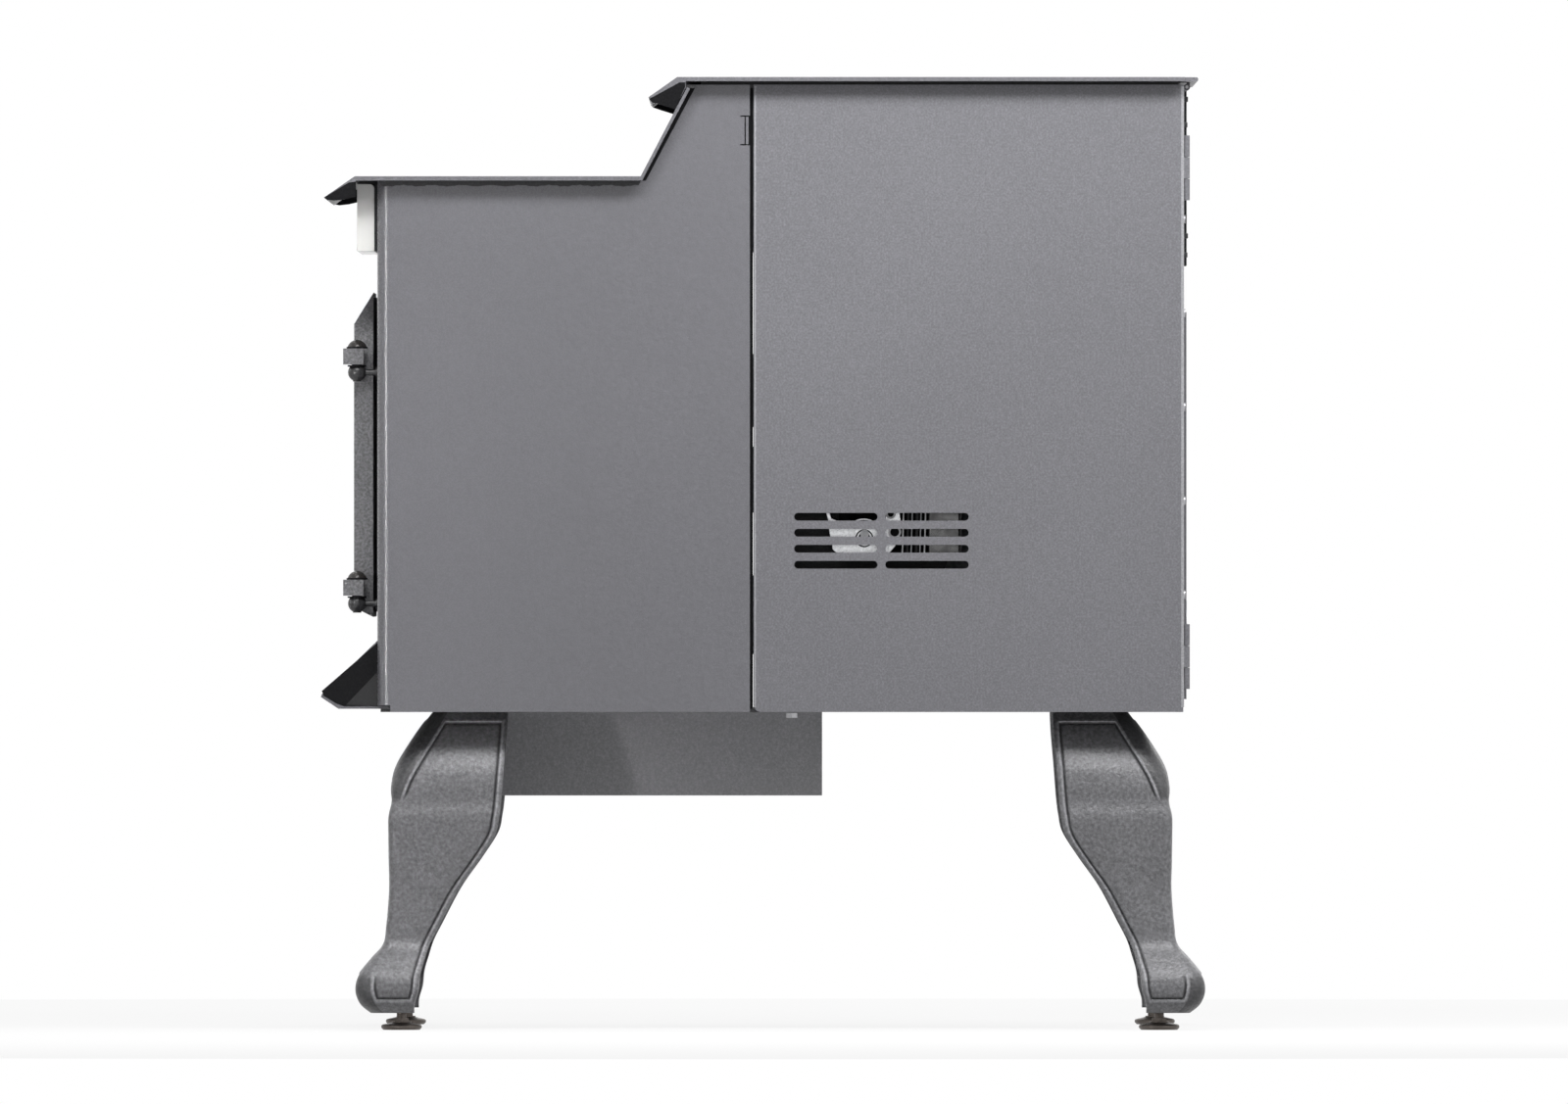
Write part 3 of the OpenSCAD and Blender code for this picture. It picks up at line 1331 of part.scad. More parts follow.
module leveller_front_right() { leveller(1, -1); }
module leveller_front_left() { leveller(-1, -1); }
module leveller_rear_right() { leveller(1, 1); }
module leveller_rear_left() { leveller(-1, 1); }

front_shroud();
front_top_plate();
hopper_lid();
lid_gasket();
hopper_deck();
lid_hinge_leaves();
lid_hinge_pins();
right_side_panel();
left_side_panel();
side_panel_hinges();
panel_catches();
back_panel();
casing_screws();
base_plate();
frame_posts();
ash_lip();
ash_box_housing();
ash_drawer();
door_frame();
door_glass();
glass_gasket();
door_rope_seal();
glass_clips();
hinge_pins();
hinge_studs();
door_handle();
warm_air_grille();
control_housing();
display_window();
button_1();
button_2();
button_3();
firebox();
brick_panel();
pot_carrier();
burn_pot();
igniter();
ash_chute();
heat_exchanger();
hopper();
auger_tube();
auger_screw();
auger_gearmotor();
exhaust_blower();
exhaust_impeller();
flue_collar();
fresh_air_pipe();
convection_blower();
convection_motor();
convection_wheel();
control_board();
power_inlet();
leg_front_right();
leg_front_left();
leg_rear_right();
leg_rear_left();
leveller_front_right();
leveller_front_left();
leveller_rear_right();
leveller_rear_left();
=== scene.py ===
"""Pellet stove: looks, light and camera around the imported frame."""
import json
import math

import bmesh
import bpy
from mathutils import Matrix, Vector


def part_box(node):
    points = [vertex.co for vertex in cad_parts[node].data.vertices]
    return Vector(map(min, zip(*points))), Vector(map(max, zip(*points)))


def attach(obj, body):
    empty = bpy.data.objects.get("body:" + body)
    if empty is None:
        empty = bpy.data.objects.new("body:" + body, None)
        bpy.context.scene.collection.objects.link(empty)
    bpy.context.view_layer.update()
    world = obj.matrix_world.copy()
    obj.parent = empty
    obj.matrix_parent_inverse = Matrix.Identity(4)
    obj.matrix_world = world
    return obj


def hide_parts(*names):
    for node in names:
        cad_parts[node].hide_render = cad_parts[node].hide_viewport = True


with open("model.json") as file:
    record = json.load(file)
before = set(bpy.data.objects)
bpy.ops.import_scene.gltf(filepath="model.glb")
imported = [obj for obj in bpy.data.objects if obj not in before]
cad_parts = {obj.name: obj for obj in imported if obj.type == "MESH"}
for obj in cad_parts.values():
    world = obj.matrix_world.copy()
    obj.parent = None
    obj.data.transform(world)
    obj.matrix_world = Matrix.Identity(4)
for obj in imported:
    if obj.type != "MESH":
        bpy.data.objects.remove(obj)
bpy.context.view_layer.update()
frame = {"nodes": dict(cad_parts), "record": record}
NODES = frame["nodes"]
SLOT_OF = {part["node"]: part["material_slot"] for part in frame["record"]["subparts"]}
BODY_OF = {node: body for body, members in frame["record"]["behaviour"]["bodies"].items()
           for node in members}

MM = 0.001
SIDES = (("right", 1), ("left", -1))
ENDS = (("front", -1), ("rear", 1))

# The photograph: its size in pixels, the size of a pixel, the column of the casing's front, the floor's row
PHOTO_W, PHOTO_H = 1600, 1127
PIXEL = 0.918 * MM
CASING_COLUMN = 385
FLOOR_ROW = 1051.5


# Node trees

def grey(value):
    return (value, value, value)


def scaled(color, factor):
    return [c * factor for c in color]


def new_material(name):
    """A new material with its node tree and its shader."""
    mat = bpy.data.materials.new(name)
    mat.use_nodes = True
    return mat, mat.node_tree, mat.node_tree.nodes["Principled BSDF"]


def object_coords(tree):
    return tree.nodes.new("ShaderNodeTexCoord").outputs["Object"]


def noise(tree, coords, scale, detail=2.0, roughness=0.5):
    tex = tree.nodes.new("ShaderNodeTexNoise")
    tex.inputs["Scale"].default_value = scale
    tex.inputs["Detail"].default_value = detail
    tex.inputs["Roughness"].default_value = roughness
    tree.links.new(coords, tex.inputs["Vector"])
    return tex.outputs["Fac"]


def ramp(tree, fac, stops):
    node = tree.nodes.new("ShaderNodeValToRGB")
    elements = node.color_ramp.elements
    while len(elements) < len(stops):
        elements.new(0.5)
    for element, (place, color) in zip(elements, stops):
        element.position = place
        element.color = (*color, 1.0)
    tree.links.new(fac, node.inputs["Fac"])
    return node.outputs["Color"]


def soft_ramp(tree, fac, low, high):
    """Goes from one colour to the other over the middle of a noise pattern."""
    return ramp(tree, fac, [(0.3, low), (0.7, high)])


def multiply(tree, a, b):
    node = tree.nodes.new("ShaderNodeMix")
    node.data_type = "RGBA"
    node.blend_type = "MULTIPLY"
    node.inputs["Factor"].default_value = 1.0
    tree.links.new(a, node.inputs["A"])
    tree.links.new(b, node.inputs["B"])
    return node.outputs["Result"]


def maximum(tree, a, b):
    node = tree.nodes.new("ShaderNodeMath")
    node.operation = "MAXIMUM"
    tree.links.new(a, node.inputs[0])
    tree.links.new(b, node.inputs[1])
    return node.outputs[0]


def bump(tree, height, strength, distance):
    node = tree.nodes.new("ShaderNodeBump")
    node.inputs["Strength"].default_value = strength
    node.inputs["Distance"].default_value = distance
    tree.links.new(height, node.inputs["Height"])
    return node.outputs["Normal"]


# Materials

# Cells per metre of the paint's grain, and the strength of its speckle
PAINT_GRAIN = 520.0
PAINT_SPECKLE = 0.2


def speckled_paint(name, color, rough=0.38, metallic=0.0, gleam=0.4):
    """Textured stove paint: fine metallic speckle, soft clouds and an orange-peel surface."""
    mat, tree, shader = new_material(name)
    coords = object_coords(tree)
    fine = noise(tree, coords, PAINT_GRAIN, detail=4.0, roughness=0.75)
    coarse = noise(tree, coords, PAINT_GRAIN * 0.4)
    cloud = noise(tree, coords, scale=4.0, detail=3.0)
    glint = [min(1.0, c * (1 + 1.5 * PAINT_SPECKLE) + 0.004) for c in color]
    speck = ramp(tree, fine, [(0.32, scaled(color, 1 - PAINT_SPECKLE)), (0.5, color), (0.68, glint)])
    peel = soft_ramp(tree, coarse, grey(0.9), grey(1.0))
    tone = soft_ramp(tree, cloud, grey(0.93), grey(1.0))
    tree.links.new(multiply(tree, multiply(tree, speck, peel), tone), shader.inputs["Base Color"])
    gloss = soft_ramp(tree, fine, grey(rough + 0.1), grey(rough - 0.1))
    tree.links.new(gloss, shader.inputs["Roughness"])
    shader.inputs["Metallic"].default_value = metallic
    shader.inputs["Specular IOR Level"].default_value = gleam
    tree.links.new(bump(tree, coarse, strength=0.35, distance=0.6 * MM), shader.inputs["Normal"])
    return mat


# Attribute of the cast meshes that carries painted light: 1 for painted shade in the depth of a groove, 0 on
# plain skin, below 0 for a painted highlight on a rim
PAINTED_LIGHT_ATTR = "painted_shade_and_highlight"
# Brightness of plain skin and of a groove's painted shade, as shares of that of a rim with full painted
# highlight
PLAIN_SKIN = 0.42
GROOVE_DARK = 0.09


def cast_metal(name, color, rough=0.36, relief=1.0, grain=300.0, speckle=0.38):
    """Sand-cast iron under thin paint: pebbled skin, with painted highlight on rims and painted shade in
    grooves.
    """
    mat, tree, shader = new_material(name)
    coords = object_coords(tree)
    pebble = noise(tree, coords, grain, detail=3.0, roughness=0.6)
    cloud = noise(tree, coords, scale=18.0, detail=3.0)
    rim = [c / PLAIN_SKIN for c in color]
    glint = [min(1.0, c * (1 + speckle) + 0.012) for c in rim]
    skin = ramp(tree, pebble, [(0.32, scaled(rim, 1 - speckle)), (0.55, rim), (0.75, glint)])
    tone = soft_ramp(tree, cloud, grey(0.88), grey(1.0))
    shade = tree.nodes.new("ShaderNodeAttribute")
    shade.attribute_name = PAINTED_LIGHT_ATTR
    centred = tree.nodes.new("ShaderNodeMath")
    centred.operation = "MULTIPLY_ADD"
    centred.inputs[1].default_value = 0.5
    centred.inputs[2].default_value = 0.5
    tree.links.new(shade.outputs["Fac"], centred.inputs[0])
    # Painted shade in grooves and corners and painted highlight on rims, read from the cast meshes'
    # attribute
    light_stops = [(0.0, grey(1.0)), (0.5, grey(PLAIN_SKIN)), (1.0, grey(GROOVE_DARK))]
    painted_light = ramp(tree, centred.outputs[0], light_stops)
    tree.links.new(multiply(tree, multiply(tree, skin, tone), painted_light), shader.inputs["Base Color"])
    shader.inputs["Roughness"].default_value = rough
    shader.inputs["Metallic"].default_value = 0.1
    tree.links.new(bump(tree, pebble, strength=relief, distance=0.9 * MM), shader.inputs["Normal"])
    return mat


def plain_metal(name, color, rough=0.35, metallic=1.0, streak=220.0, vary=0.25):
    """Plated or bare metal with fine streaks."""
    mat, tree, shader = new_material(name)
    grain = noise(tree, object_coords(tree), streak, detail=4.0, roughness=0.6)
    tree.links.new(soft_ramp(tree, grain, scaled(color, 1 - vary), color), shader.inputs["Base Color"])
    tree.links.new(soft_ramp(tree, grain, grey(rough + 0.12), grey(rough)), shader.inputs["Roughness"])
    shader.inputs["Metallic"].default_value = metallic
    tree.links.new(bump(tree, grain, strength=0.12, distance=0.2 * MM), shader.inputs["Normal"])
    return mat


def moulded_plastic(name, color, rough=0.45, gleam=0.5):
    """Plastic with a faint grain and slight clouds."""
    mat, tree, shader = new_material(name)
    coords = object_coords(tree)
    fine = noise(tree, coords, scale=700.0)
    cloud = noise(tree, coords, scale=9.0)
    tree.links.new(soft_ramp(tree, cloud, scaled(color, 0.94), color), shader.inputs["Base Color"])
    shader.inputs["Roughness"].default_value = rough
    shader.inputs["Specular IOR Level"].default_value = gleam
    tree.links.new(bump(tree, fine, strength=0.15, distance=0.2 * MM), shader.inputs["Normal"])
    return mat


def knitted_rope(name, color):
    """Knitted cord or open foam: small cells, dark in their middles."""
    mat, tree, shader = new_material(name)
    cells = tree.nodes.new("ShaderNodeTexVoronoi")
    cells.inputs["Scale"].default_value = 480.0
    tree.links.new(object_coords(tree), cells.inputs["Vector"])
    weave = cells.outputs["Distance"]
    tree.links.new(ramp(tree, weave, [(0.0, scaled(color, 0.4)), (0.6, color)]), shader.inputs["Base Color"])
    shader.inputs["Roughness"].default_value = 0.9
    tree.links.new(bump(tree, weave, strength=0.5, distance=1.0 * MM), shader.inputs["Normal"])
    return mat


def dark_glass(name, tint):
    """Ceramic window glass, half clear, with a sooty haze."""
    mat, tree, shader = new_material(name)
    haze = noise(tree, object_coords(tree), scale=12.0, detail=4.0)
    tree.links.new(ramp(tree, haze, [(0.3, tint), (0.75, scaled(tint, 1.6))]), shader.inputs["Base Color"])
    shader.inputs["Roughness"].default_value = 0.03
    shader.inputs["Transmission Weight"].default_value = 0.5
    shader.inputs["IOR"].default_value = 1.46
    return mat


def fired_brick(name, color):
    """Refractory board with soot in soft patches."""
    mat, tree, shader = new_material(name)
    coords = object_coords(tree)
    grain = noise(tree, coords, scale=160.0, detail=5.0, roughness=0.7)
    patches = noise(tree, coords, scale=14.0, detail=3.0)
    base = soft_ramp(tree, grain, scaled(color, 0.7), color)
    soot = ramp(tree, patches, [(0.35, grey(0.45)), (0.7, grey(1.0))])
    tree.links.new(multiply(tree, base, soot), shader.inputs["Base Color"])
    shader.inputs["Roughness"].default_value = 0.9
    tree.links.new(bump(tree, grain, strength=0.5, distance=0.8 * MM), shader.inputs["Normal"])
    return mat


MATERIALS = {
    "charcoal_paint": speckled_paint("charcoal_paint", (0.19, 0.189, 0.206)),
    "cast_iron": cast_metal("cast_iron", (0.19, 0.19, 0.2)),
    "shadow_steel": speckled_paint("shadow_steel", (0.014, 0.014, 0.015)),
    "inner_steel": speckled_paint("inner_steel", (0.035, 0.035, 0.038), metallic=0.1),
    "black_paint": speckled_paint("black_paint", (0.004, 0.004, 0.005), rough=0.7, gleam=0.15),
    "cream_plastic": moulded_plastic("cream_plastic", (0.99, 0.985, 0.955), rough=0.15, gleam=1.0),
    "dark_plastic": moulded_plastic("dark_plastic", (0.05, 0.05, 0.055)),
    "display_glass": moulded_plastic("display_glass", (0.01, 0.012, 0.014), rough=0.12),
    "door_glass": dark_glass("door_glass", (0.1, 0.095, 0.088)),
    "rope_black": knitted_rope("rope_black", (0.04, 0.04, 0.042)),
    "gasket_white": knitted_rope("gasket_white", (0.6, 0.6, 0.57)),
    "zinc": plain_metal("zinc", (0.66, 0.66, 0.68)),
    "galvanised": plain_metal("galvanised", (0.5, 0.51, 0.53), rough=0.4, streak=60.0),
    "casing_steel": plain_metal("casing_steel", (0.2, 0.2, 0.2), rough=0.22, streak=60.0, vary=0.4),
    # Bright die-cast metal, its colour raised beyond die_cast as painted light on the motor parts behind the
    # louvres, which the lamps barely reach
    "bright_casting": plain_metal("bright_casting", (0.75, 0.76, 0.78), rough=0.16, streak=300.0, vary=0.12),
    "die_cast": plain_metal("die_cast", (0.62, 0.63, 0.65), rough=0.42, streak=300.0),
    "firebrick": fired_brick("firebrick", (0.42, 0.36, 0.29)),
    "circuit_board": moulded_plastic("circuit_board", (0.02, 0.16, 0.07), rough=0.35),
    "glide_brass": plain_metal("glide_brass", (0.11, 0.095, 0.085), rough=0.4, metallic=0.8, streak=120.0),
}
# Finishes of single nodes that differ from the rest of their slot
OWN_PAINT = {
    "right_side_panel": speckled_paint("panel_paint", (0.215, 0.214, 0.232)),
    "front_shroud": speckled_paint("shroud_paint", (0.169, 0.168, 0.185), rough=0.27, gleam=0.7),
    # Black paint on the frame posts: painted shade in the gaps between the shroud and the side panels where
    # they show
    "frame_posts": MATERIALS["black_paint"],
    "convection_motor": MATERIALS["black_paint"],
    # Lighter than the body's paint: painted light on the ash box and drawer, which sit in the shade under
    # the body
    "ash_box_housing": speckled_paint("ash_box_paint", (0.44, 0.44, 0.46)),
    "ash_drawer": speckled_paint("ash_drawer_paint", (0.44, 0.44, 0.46)),
    "hinge_pins": cast_metal("hinge_dome", (0.05, 0.046, 0.043), rough=0.25, relief=0.4),
    "hinge_studs": cast_metal("hinge_ball", (0.06, 0.06, 0.063), rough=0.25, relief=0.3),
    "panel_catches": MATERIALS["charcoal_paint"],
    # A lighter iron than the legs': painted light on the recessed door, which the lamps reach less
    "door_frame": cast_metal("door_iron", (0.27, 0.27, 0.282), grain=420.0, speckle=0.45),
}
OWN_PAINT["left_side_panel"] = OWN_PAINT["right_side_panel"]
# Lighter paint on the panels' hems: painted highlight on their folded edges
EDGE_HIGHLIGHT = speckled_paint("painted_edge_highlight", (0.42, 0.42, 0.44))


# Objects and meshes

def paint(obj, mat):
    obj.data.materials.clear()
    obj.data.materials.append(mat)


def finish_of(node):
    return OWN_PAINT.get(node, MATERIALS[SLOT_OF[node]])


def add_object(name, data):
    obj = bpy.data.objects.new(name, data)
    bpy.context.scene.collection.objects.link(obj)
    return obj


def add_piece(name, mesh, mat, body):
    """A visible piece, in one material, that rides a body."""
    obj = add_object(name, mesh)
    paint(obj, mat)
    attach(obj, body)
    return obj


def finished_mesh(name, bm):
    mesh = bpy.data.meshes.new(name)
    bm.to_mesh(mesh)
    bm.free()
    return mesh


def bridge(bm, ring, following):
    """Faces between two closed rows of as many points."""
    count = len(ring)
    for i in range(count):
        j = (i + 1) % count
        bm.faces.new((ring[i], ring[j], following[j], following[i]))


def smooth_by_angle(mesh, degrees):
    """Smooth shading with sharp edges kept where faces meet at more than the angle."""
    limit = math.radians(degrees)
    bm = bmesh.new()
    bm.from_mesh(mesh)
    for face in bm.faces:
        face.smooth = True
    for edge in bm.edges:
        edge.smooth = len(edge.link_faces) != 2 or edge.calc_face_angle(0.0) < limit
    bm.to_mesh(mesh)
    bm.free()


ROUND_STEPS = 2
SHARP_ANGLE = 28


def round_edges(obj, width):
    """Rounds the sharp edges of sheet and cast pieces."""
    bevel = obj.modifiers.new("edges", "BEVEL")
    bevel.width = width
    bevel.segments = ROUND_STEPS
    bevel.limit_method = "ANGLE"
    bevel.angle_limit = math.radians(SHARP_ANGLE)
    bevel.use_clamp_overlap = True
    for poly in obj.data.polygons:
        poly.use_smooth = True
    normals = obj.modifiers.new("normals", "WEIGHTED_NORMAL")
    normals.mode = "FACE_AREA"
    normals.weight = 100
    normals.keep_sharp = False


def prism_mesh(name, outline, x0, x1):
    """A closed plate: an outline of depth and height, drawn out along X."""
    bm = bmesh.new()
    near = [bm.verts.new((x0, y, z)) for y, z in outline]
    far = [bm.verts.new((x1, y, z)) for y, z in outline]
    bm.faces.new(near)
    bm.faces.new(list(reversed(far)))
    bridge(bm, far, near)
    bmesh.ops.recalc_face_normals(bm, faces=bm.faces)
    return finished_mesh(name, bm)


def box_piece(name, lo, hi, slot, edge=0.0):
    """A block between two corners, fixed to the stove; its edges are rounded where a width is given."""
    outline = [(lo[1], lo[2]), (hi[1], lo[2]), (hi[1], hi[2]), (lo[1], hi[2])]
    obj = add_piece(name, prism_mesh(name, outline, lo[0], hi[0]), MATERIALS[slot], "stove")
    if edge:
        round_edges(obj, edge)


# Steps round a ring or disc, and the angle over which its edges stay sharp
RING_STEPS = 40
DISC_STEPS = 48
ROUND_ANGLE = 35
RING_BEVEL = 0.4 * MM
SMALLEST_HOLE = 0.02 * MM


def ring_mesh(name, center, r_out, r_in, x0, x1):
    """A flat ring or disc across X, its edges slightly rounded, about a centre of depth and height."""
    r_in = max(r_in, SMALLEST_HOLE)
    edge = min(RING_BEVEL, (x1 - x0) / 3, (r_out - r_in) / 3)
    profile = [(x0, r_in), (x0, r_out), (x1 - edge, r_out), (x1, r_out - edge), (x1, r_in + edge),
               (x1 - edge, r_in)]
    bm = bmesh.new()
    sections = []
    for i in range(RING_STEPS):
        a = 2 * math.pi * i / RING_STEPS
        sections.append([bm.verts.new((x, center[0] + r * math.cos(a), center[1] + r * math.sin(a)))
                         for x, r in profile])
    for i in range(RING_STEPS):
        bridge(bm, sections[i], sections[(i + 1) % RING_STEPS])
    bmesh.ops.recalc_face_normals(bm, faces=bm.faces)
    mesh = finished_mesh(name, bm)
    smooth_by_angle(mesh, ROUND_ANGLE)
    return mesh


def disc_mesh(name, radius, height, foot):
    """A low round disc standing on a point."""
    bm = bmesh.new()
    bmesh.ops.create_cone(bm, cap_ends=True, segments=DISC_STEPS, radius1=radius, radius2=radius,
                          depth=height)
    bmesh.ops.translate(bm, verts=bm.verts, vec=foot + Vector((0, 0, height / 2)))
    mesh = finished_mesh(name, bm)
    smooth_by_angle(mesh, ROUND_ANGLE)
    return mesh


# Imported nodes: finishes, and copies with rounded edges in the place of some

EDGE_ROUNDS = {
    "front_shroud": 0.5 * MM,
    "front_top_plate": 1.2 * MM,
    "hopper_lid": 1.3 * MM,
    "right_side_panel": 0.6 * MM,
    "left_side_panel": 0.6 * MM,
    "ash_lip": 0.5 * MM,
    "ash_box_housing": 0.4 * MM,
    "ash_drawer": 0.4 * MM,
    "door_frame": 1.6 * MM,
    "control_housing": 1.0 * MM,
    "door_handle": 1.0 * MM,
    "convection_motor": 0.6 * MM,
}
WELD_DISTANCE = 0.001 * MM
FLAT_ANGLE = 0.5


def dress(node):
    """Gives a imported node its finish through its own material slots."""
    for slot in NODES[node].material_slots:
        slot.link = "OBJECT"
        slot.material = finish_of(node)


def soften(node, width):
    """Replaces a node with a copy that has its flat faces merged and its edges rounded."""
    bm = bmesh.new()
    bm.from_mesh(NODES[node].data)
    bmesh.ops.remove_doubles(bm, verts=bm.verts, dist=WELD_DISTANCE)
    bmesh.ops.dissolve_limit(bm, angle_limit=math.radians(FLAT_ANGLE), verts=bm.verts, edges=bm.edges)
    mesh = finished_mesh(node + "_soft", bm)
    obj = add_piece(node + "_finish", mesh, finish_of(node), BODY_OF[node])
    round_edges(obj, width)
    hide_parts(node)


def dress_nodes():
    for node in NODES:
        dress(node)
    for node, width in EDGE_ROUNDS.items():
        soften(node, width)


# Cabriole legs, lofted again with finer sections; lengths in mm

# Share of the height, offset of the corner, width of a wing, radius of the corner
LEG_CURVE = [
    (0, 0, 71, 14), (0.075, 15.6, 85.5, 17), (0.173, 32.6, 100, 17), (0.24, 37.6, 103.5, 12),
    (0.3, 38, 102.5, 7), (0.35, 40.9, 103.5, 6), (0.41, 41, 99.6, 7), (0.495, 40.6, 84, 7),
    (0.593, 40, 64, 7), (0.71, 42.5, 49, 6), (0.772, 45.4, 43, 6), (0.82, 56.9, 50, 9),
    (0.875, 68.9, 57.5, 12), (0.925, 72, 59, 14), (0.97, 67.5, 51, 14), (1, 57.8, 41, 12),
]
LEG_STEPS = 7
LEG_SMOOTH_ANGLE = 50
# Wall of the hollow part, and its growth below the ankle over the whole height
LEG_WALL = 9.0
ANKLE = 0.78
SOLE_GROWTH = 420.0
SOLE_MARGIN = 2.0
# The cast outline of each wing: distance inwards from the line, depth and darkness there, and the
# factor on the depths
# Above 0 the darkness is painted shade in the groove; below 0 it is a painted highlight on the bead
OUTLINE = [(-3.6, 0.0, 0.0), (-2.6, -0.4, -0.4), (-1.5, -0.7, -0.9), (-0.6, -0.2, -0.5), (0.0, 0.5, 0.6),
           (0.8, 1.0, 1.0), (1.6, 0.7, 0.7), (2.6, 0.25, 0.1), (3.8, 0.0, 0.0)]
OUTLINE_PLACES = [row[0] for row in OUTLINE]
OUTLINE_DEPTH = 1.5
# Where the outline crosses the top and the toe, as shares of the height, and the rim that it leaves
OUTLINE_TOP = 0.036
OUTLINE_LOW = 0.955
LEG_RIM = 6.0
# Shares of the height over which the line beside the outer corner fades in, at the knee and on the toe
KNEE_FADE = (0.3, 0.27)
TOE_FADE = (0.87, 0.9)
# Shares of the height over which that line moves off from the rounding of the corner, and how far
KNEE_STANDOFF = (0.36, 0.26)
TOE_STANDOFF = (0.7, 0.85)
LINE_STANDOFF = 3.5
LINE_GAP = 0.5
# Darkness of the rounding where that line shows: painted shade on the corner at the knee and the toe
CORNER_SHADE = 0.75
# Steps round half of the corner, and the least place and spacing of the points that follow it
CORNER_STEPS = 8
FIRST_PLACE = 0.1
LEAST_STEP = 0.02
# The rounded end of a wing: distance before the end, and depth
WING_END = [(0.8, 0.3), (0.2, 1.0), (0.0, 2.0)]
# Share of the wall at which the end turns in, and how far it has come in at the back
WING_TURN = 0.6
WING_BACK_STEP = 0.1


def spline(a, b, c, d, t):
    """A smooth curve from b to c, led by the values before and after them."""
    return 0.5 * (2 * b + (c - a) * t + (2 * a - 5 * b + 4 * c - d) * t * t
                  + (3 * b - a - 3 * c + d) * t ** 3)


def leg_station(k):
    """Share of the height, offset, width and radius at a place between the rows of the curve."""
    last = len(LEG_CURVE) - 1
    i = min(int(k), last - 1)
    rows = [LEG_CURVE[max(i - 1, 0)], LEG_CURVE[i], LEG_CURVE[i + 1], LEG_CURVE[min(i + 2, last)]]
    return [spline(*[row[j] for row in rows], k - i) for j in range(4)]


def leg_places(height):
    """Places along the curve, with extra ones across the ends of the cast outline."""
    last = (len(LEG_CURVE) - 1) * LEG_STEPS
    places = [k / LEG_STEPS for k in range(last + 1)]
    shares = [leg_station(k)[0] for k in places]
    for line, way in ((OUTLINE_TOP, 1), (OUTLINE_LOW, -1)):
        for distance in OUTLINE_PLACES:
            f = line + way * distance / height
            i = max(j for j in range(last) if shares[j] <= f)
            places.append(places[i] + (f - shares[i]) / (shares[i + 1] - shares[i]) / LEG_STEPS)
    return sorted(places)


def progress(f, start, end):
    """How far f has come from start to end, between 0 and 1."""
    return min(1.0, max(0.0, (f - start) / (end - start)))


def outline_at(d):
    """Depth and darkness at a distance inwards from the cast outline; none past its ends."""
    for (d0, z0, s0), (d1, z1, s1) in zip(OUTLINE, OUTLINE[1:]):
        if d0 < d <= d1:
            t = (d - d0) / (d1 - d0)
            return z0 + (z1 - z0) * t, s0 + (s1 - s0) * t
    return 0.0, 0.0


def wing_points(wing, radius, thick, f, height):
    """Half of a section, from the middle of the rounded corner to the end of the wing.

    Each point has its place along the wing, its depth and the painted shade or highlight that the outline
    gives it."""
    shown = max(progress(f, *KNEE_FADE), progress(f, *TOE_FADE))
    standoff = max(progress(f, *KNEE_STANDOFF), progress(f, *TOE_STANDOFF))
    points = []
    for step in range(1, CORNER_STEPS + 1):
        a = math.radians(45 + 45 * step / CORNER_STEPS)
        dark = CORNER_SHADE * min(1.0, shown * 2)
        points.append((radius - radius * math.cos(a), radius - radius * math.sin(a), dark))
    start = radius + LINE_GAP + LINE_STANDOFF * standoff
    end = wing - LEG_RIM
    across = [(max(start + d, radius + FIRST_PLACE + LEAST_STEP * i), False)
              for i, d in enumerate(OUTLINE_PLACES)]
    across.append(((start + end) / 2, False))
    across += [(end - d, True) for d in reversed(OUTLINE_PLACES)]
    to_top_or_low = min((f - OUTLINE_TOP) * height, (OUTLINE_LOW - f) * height)
    for x, at_end in across:
        to_corner = x - start
        nearest = min(to_corner, end - x, to_top_or_low)
        depth, dark = outline_at(nearest)
        if nearest == to_corner and not at_end:
            depth *= shown
            dark *= shown
        if f > TOE_FADE[0]:
            depth = max(depth, 0.0)
        points.append((x, depth * OUTLINE_DEPTH, dark))
    wing_end = [(wing - before, depth) for before, depth in WING_END]
    wing_end += [(wing, thick * WING_TURN), (wing - WING_BACK_STEP, thick)]
    return points + [(x, y, 0.0) for x, y in wing_end]


def leg_mesh(name, leg_height):
    """A leg that hangs from the origin, its outer corner towards -X and -Y."""
    height = leg_height / MM
    bm = bmesh.new()
    shade = bm.verts.layers.float.new(PAINTED_LIGHT_ATTR)
    sections = []
    for k in leg_places(height):
        f, offset, wing, radius = leg_station(k)
        thick = LEG_WALL if f < ANKLE else min(wing - SOLE_MARGIN, LEG_WALL + (f - ANKLE) * SOLE_GROWTH)
        half = wing_points(wing, radius, thick, f, height)
        mirrored = [(y, x, dark) for x, y, dark in reversed(half)]
        section = []
        for x, y, dark in half + [(thick, thick, 0.0)] + mirrored:
            vert = bm.verts.new(((x - offset) * MM, (y - offset) * MM, -f * leg_height))
            vert[shade] = dark
            section.append(vert)
        sections.append(section)
    for upper, lower in zip(sections, sections[1:]):
        bridge(bm, upper, lower)
    bm.faces.new(sections[0])
    bm.faces.new(list(reversed(sections[-1])))
    bmesh.ops.recalc_face_normals(bm, faces=bm.faces)
    return finished_mesh(name, bm)


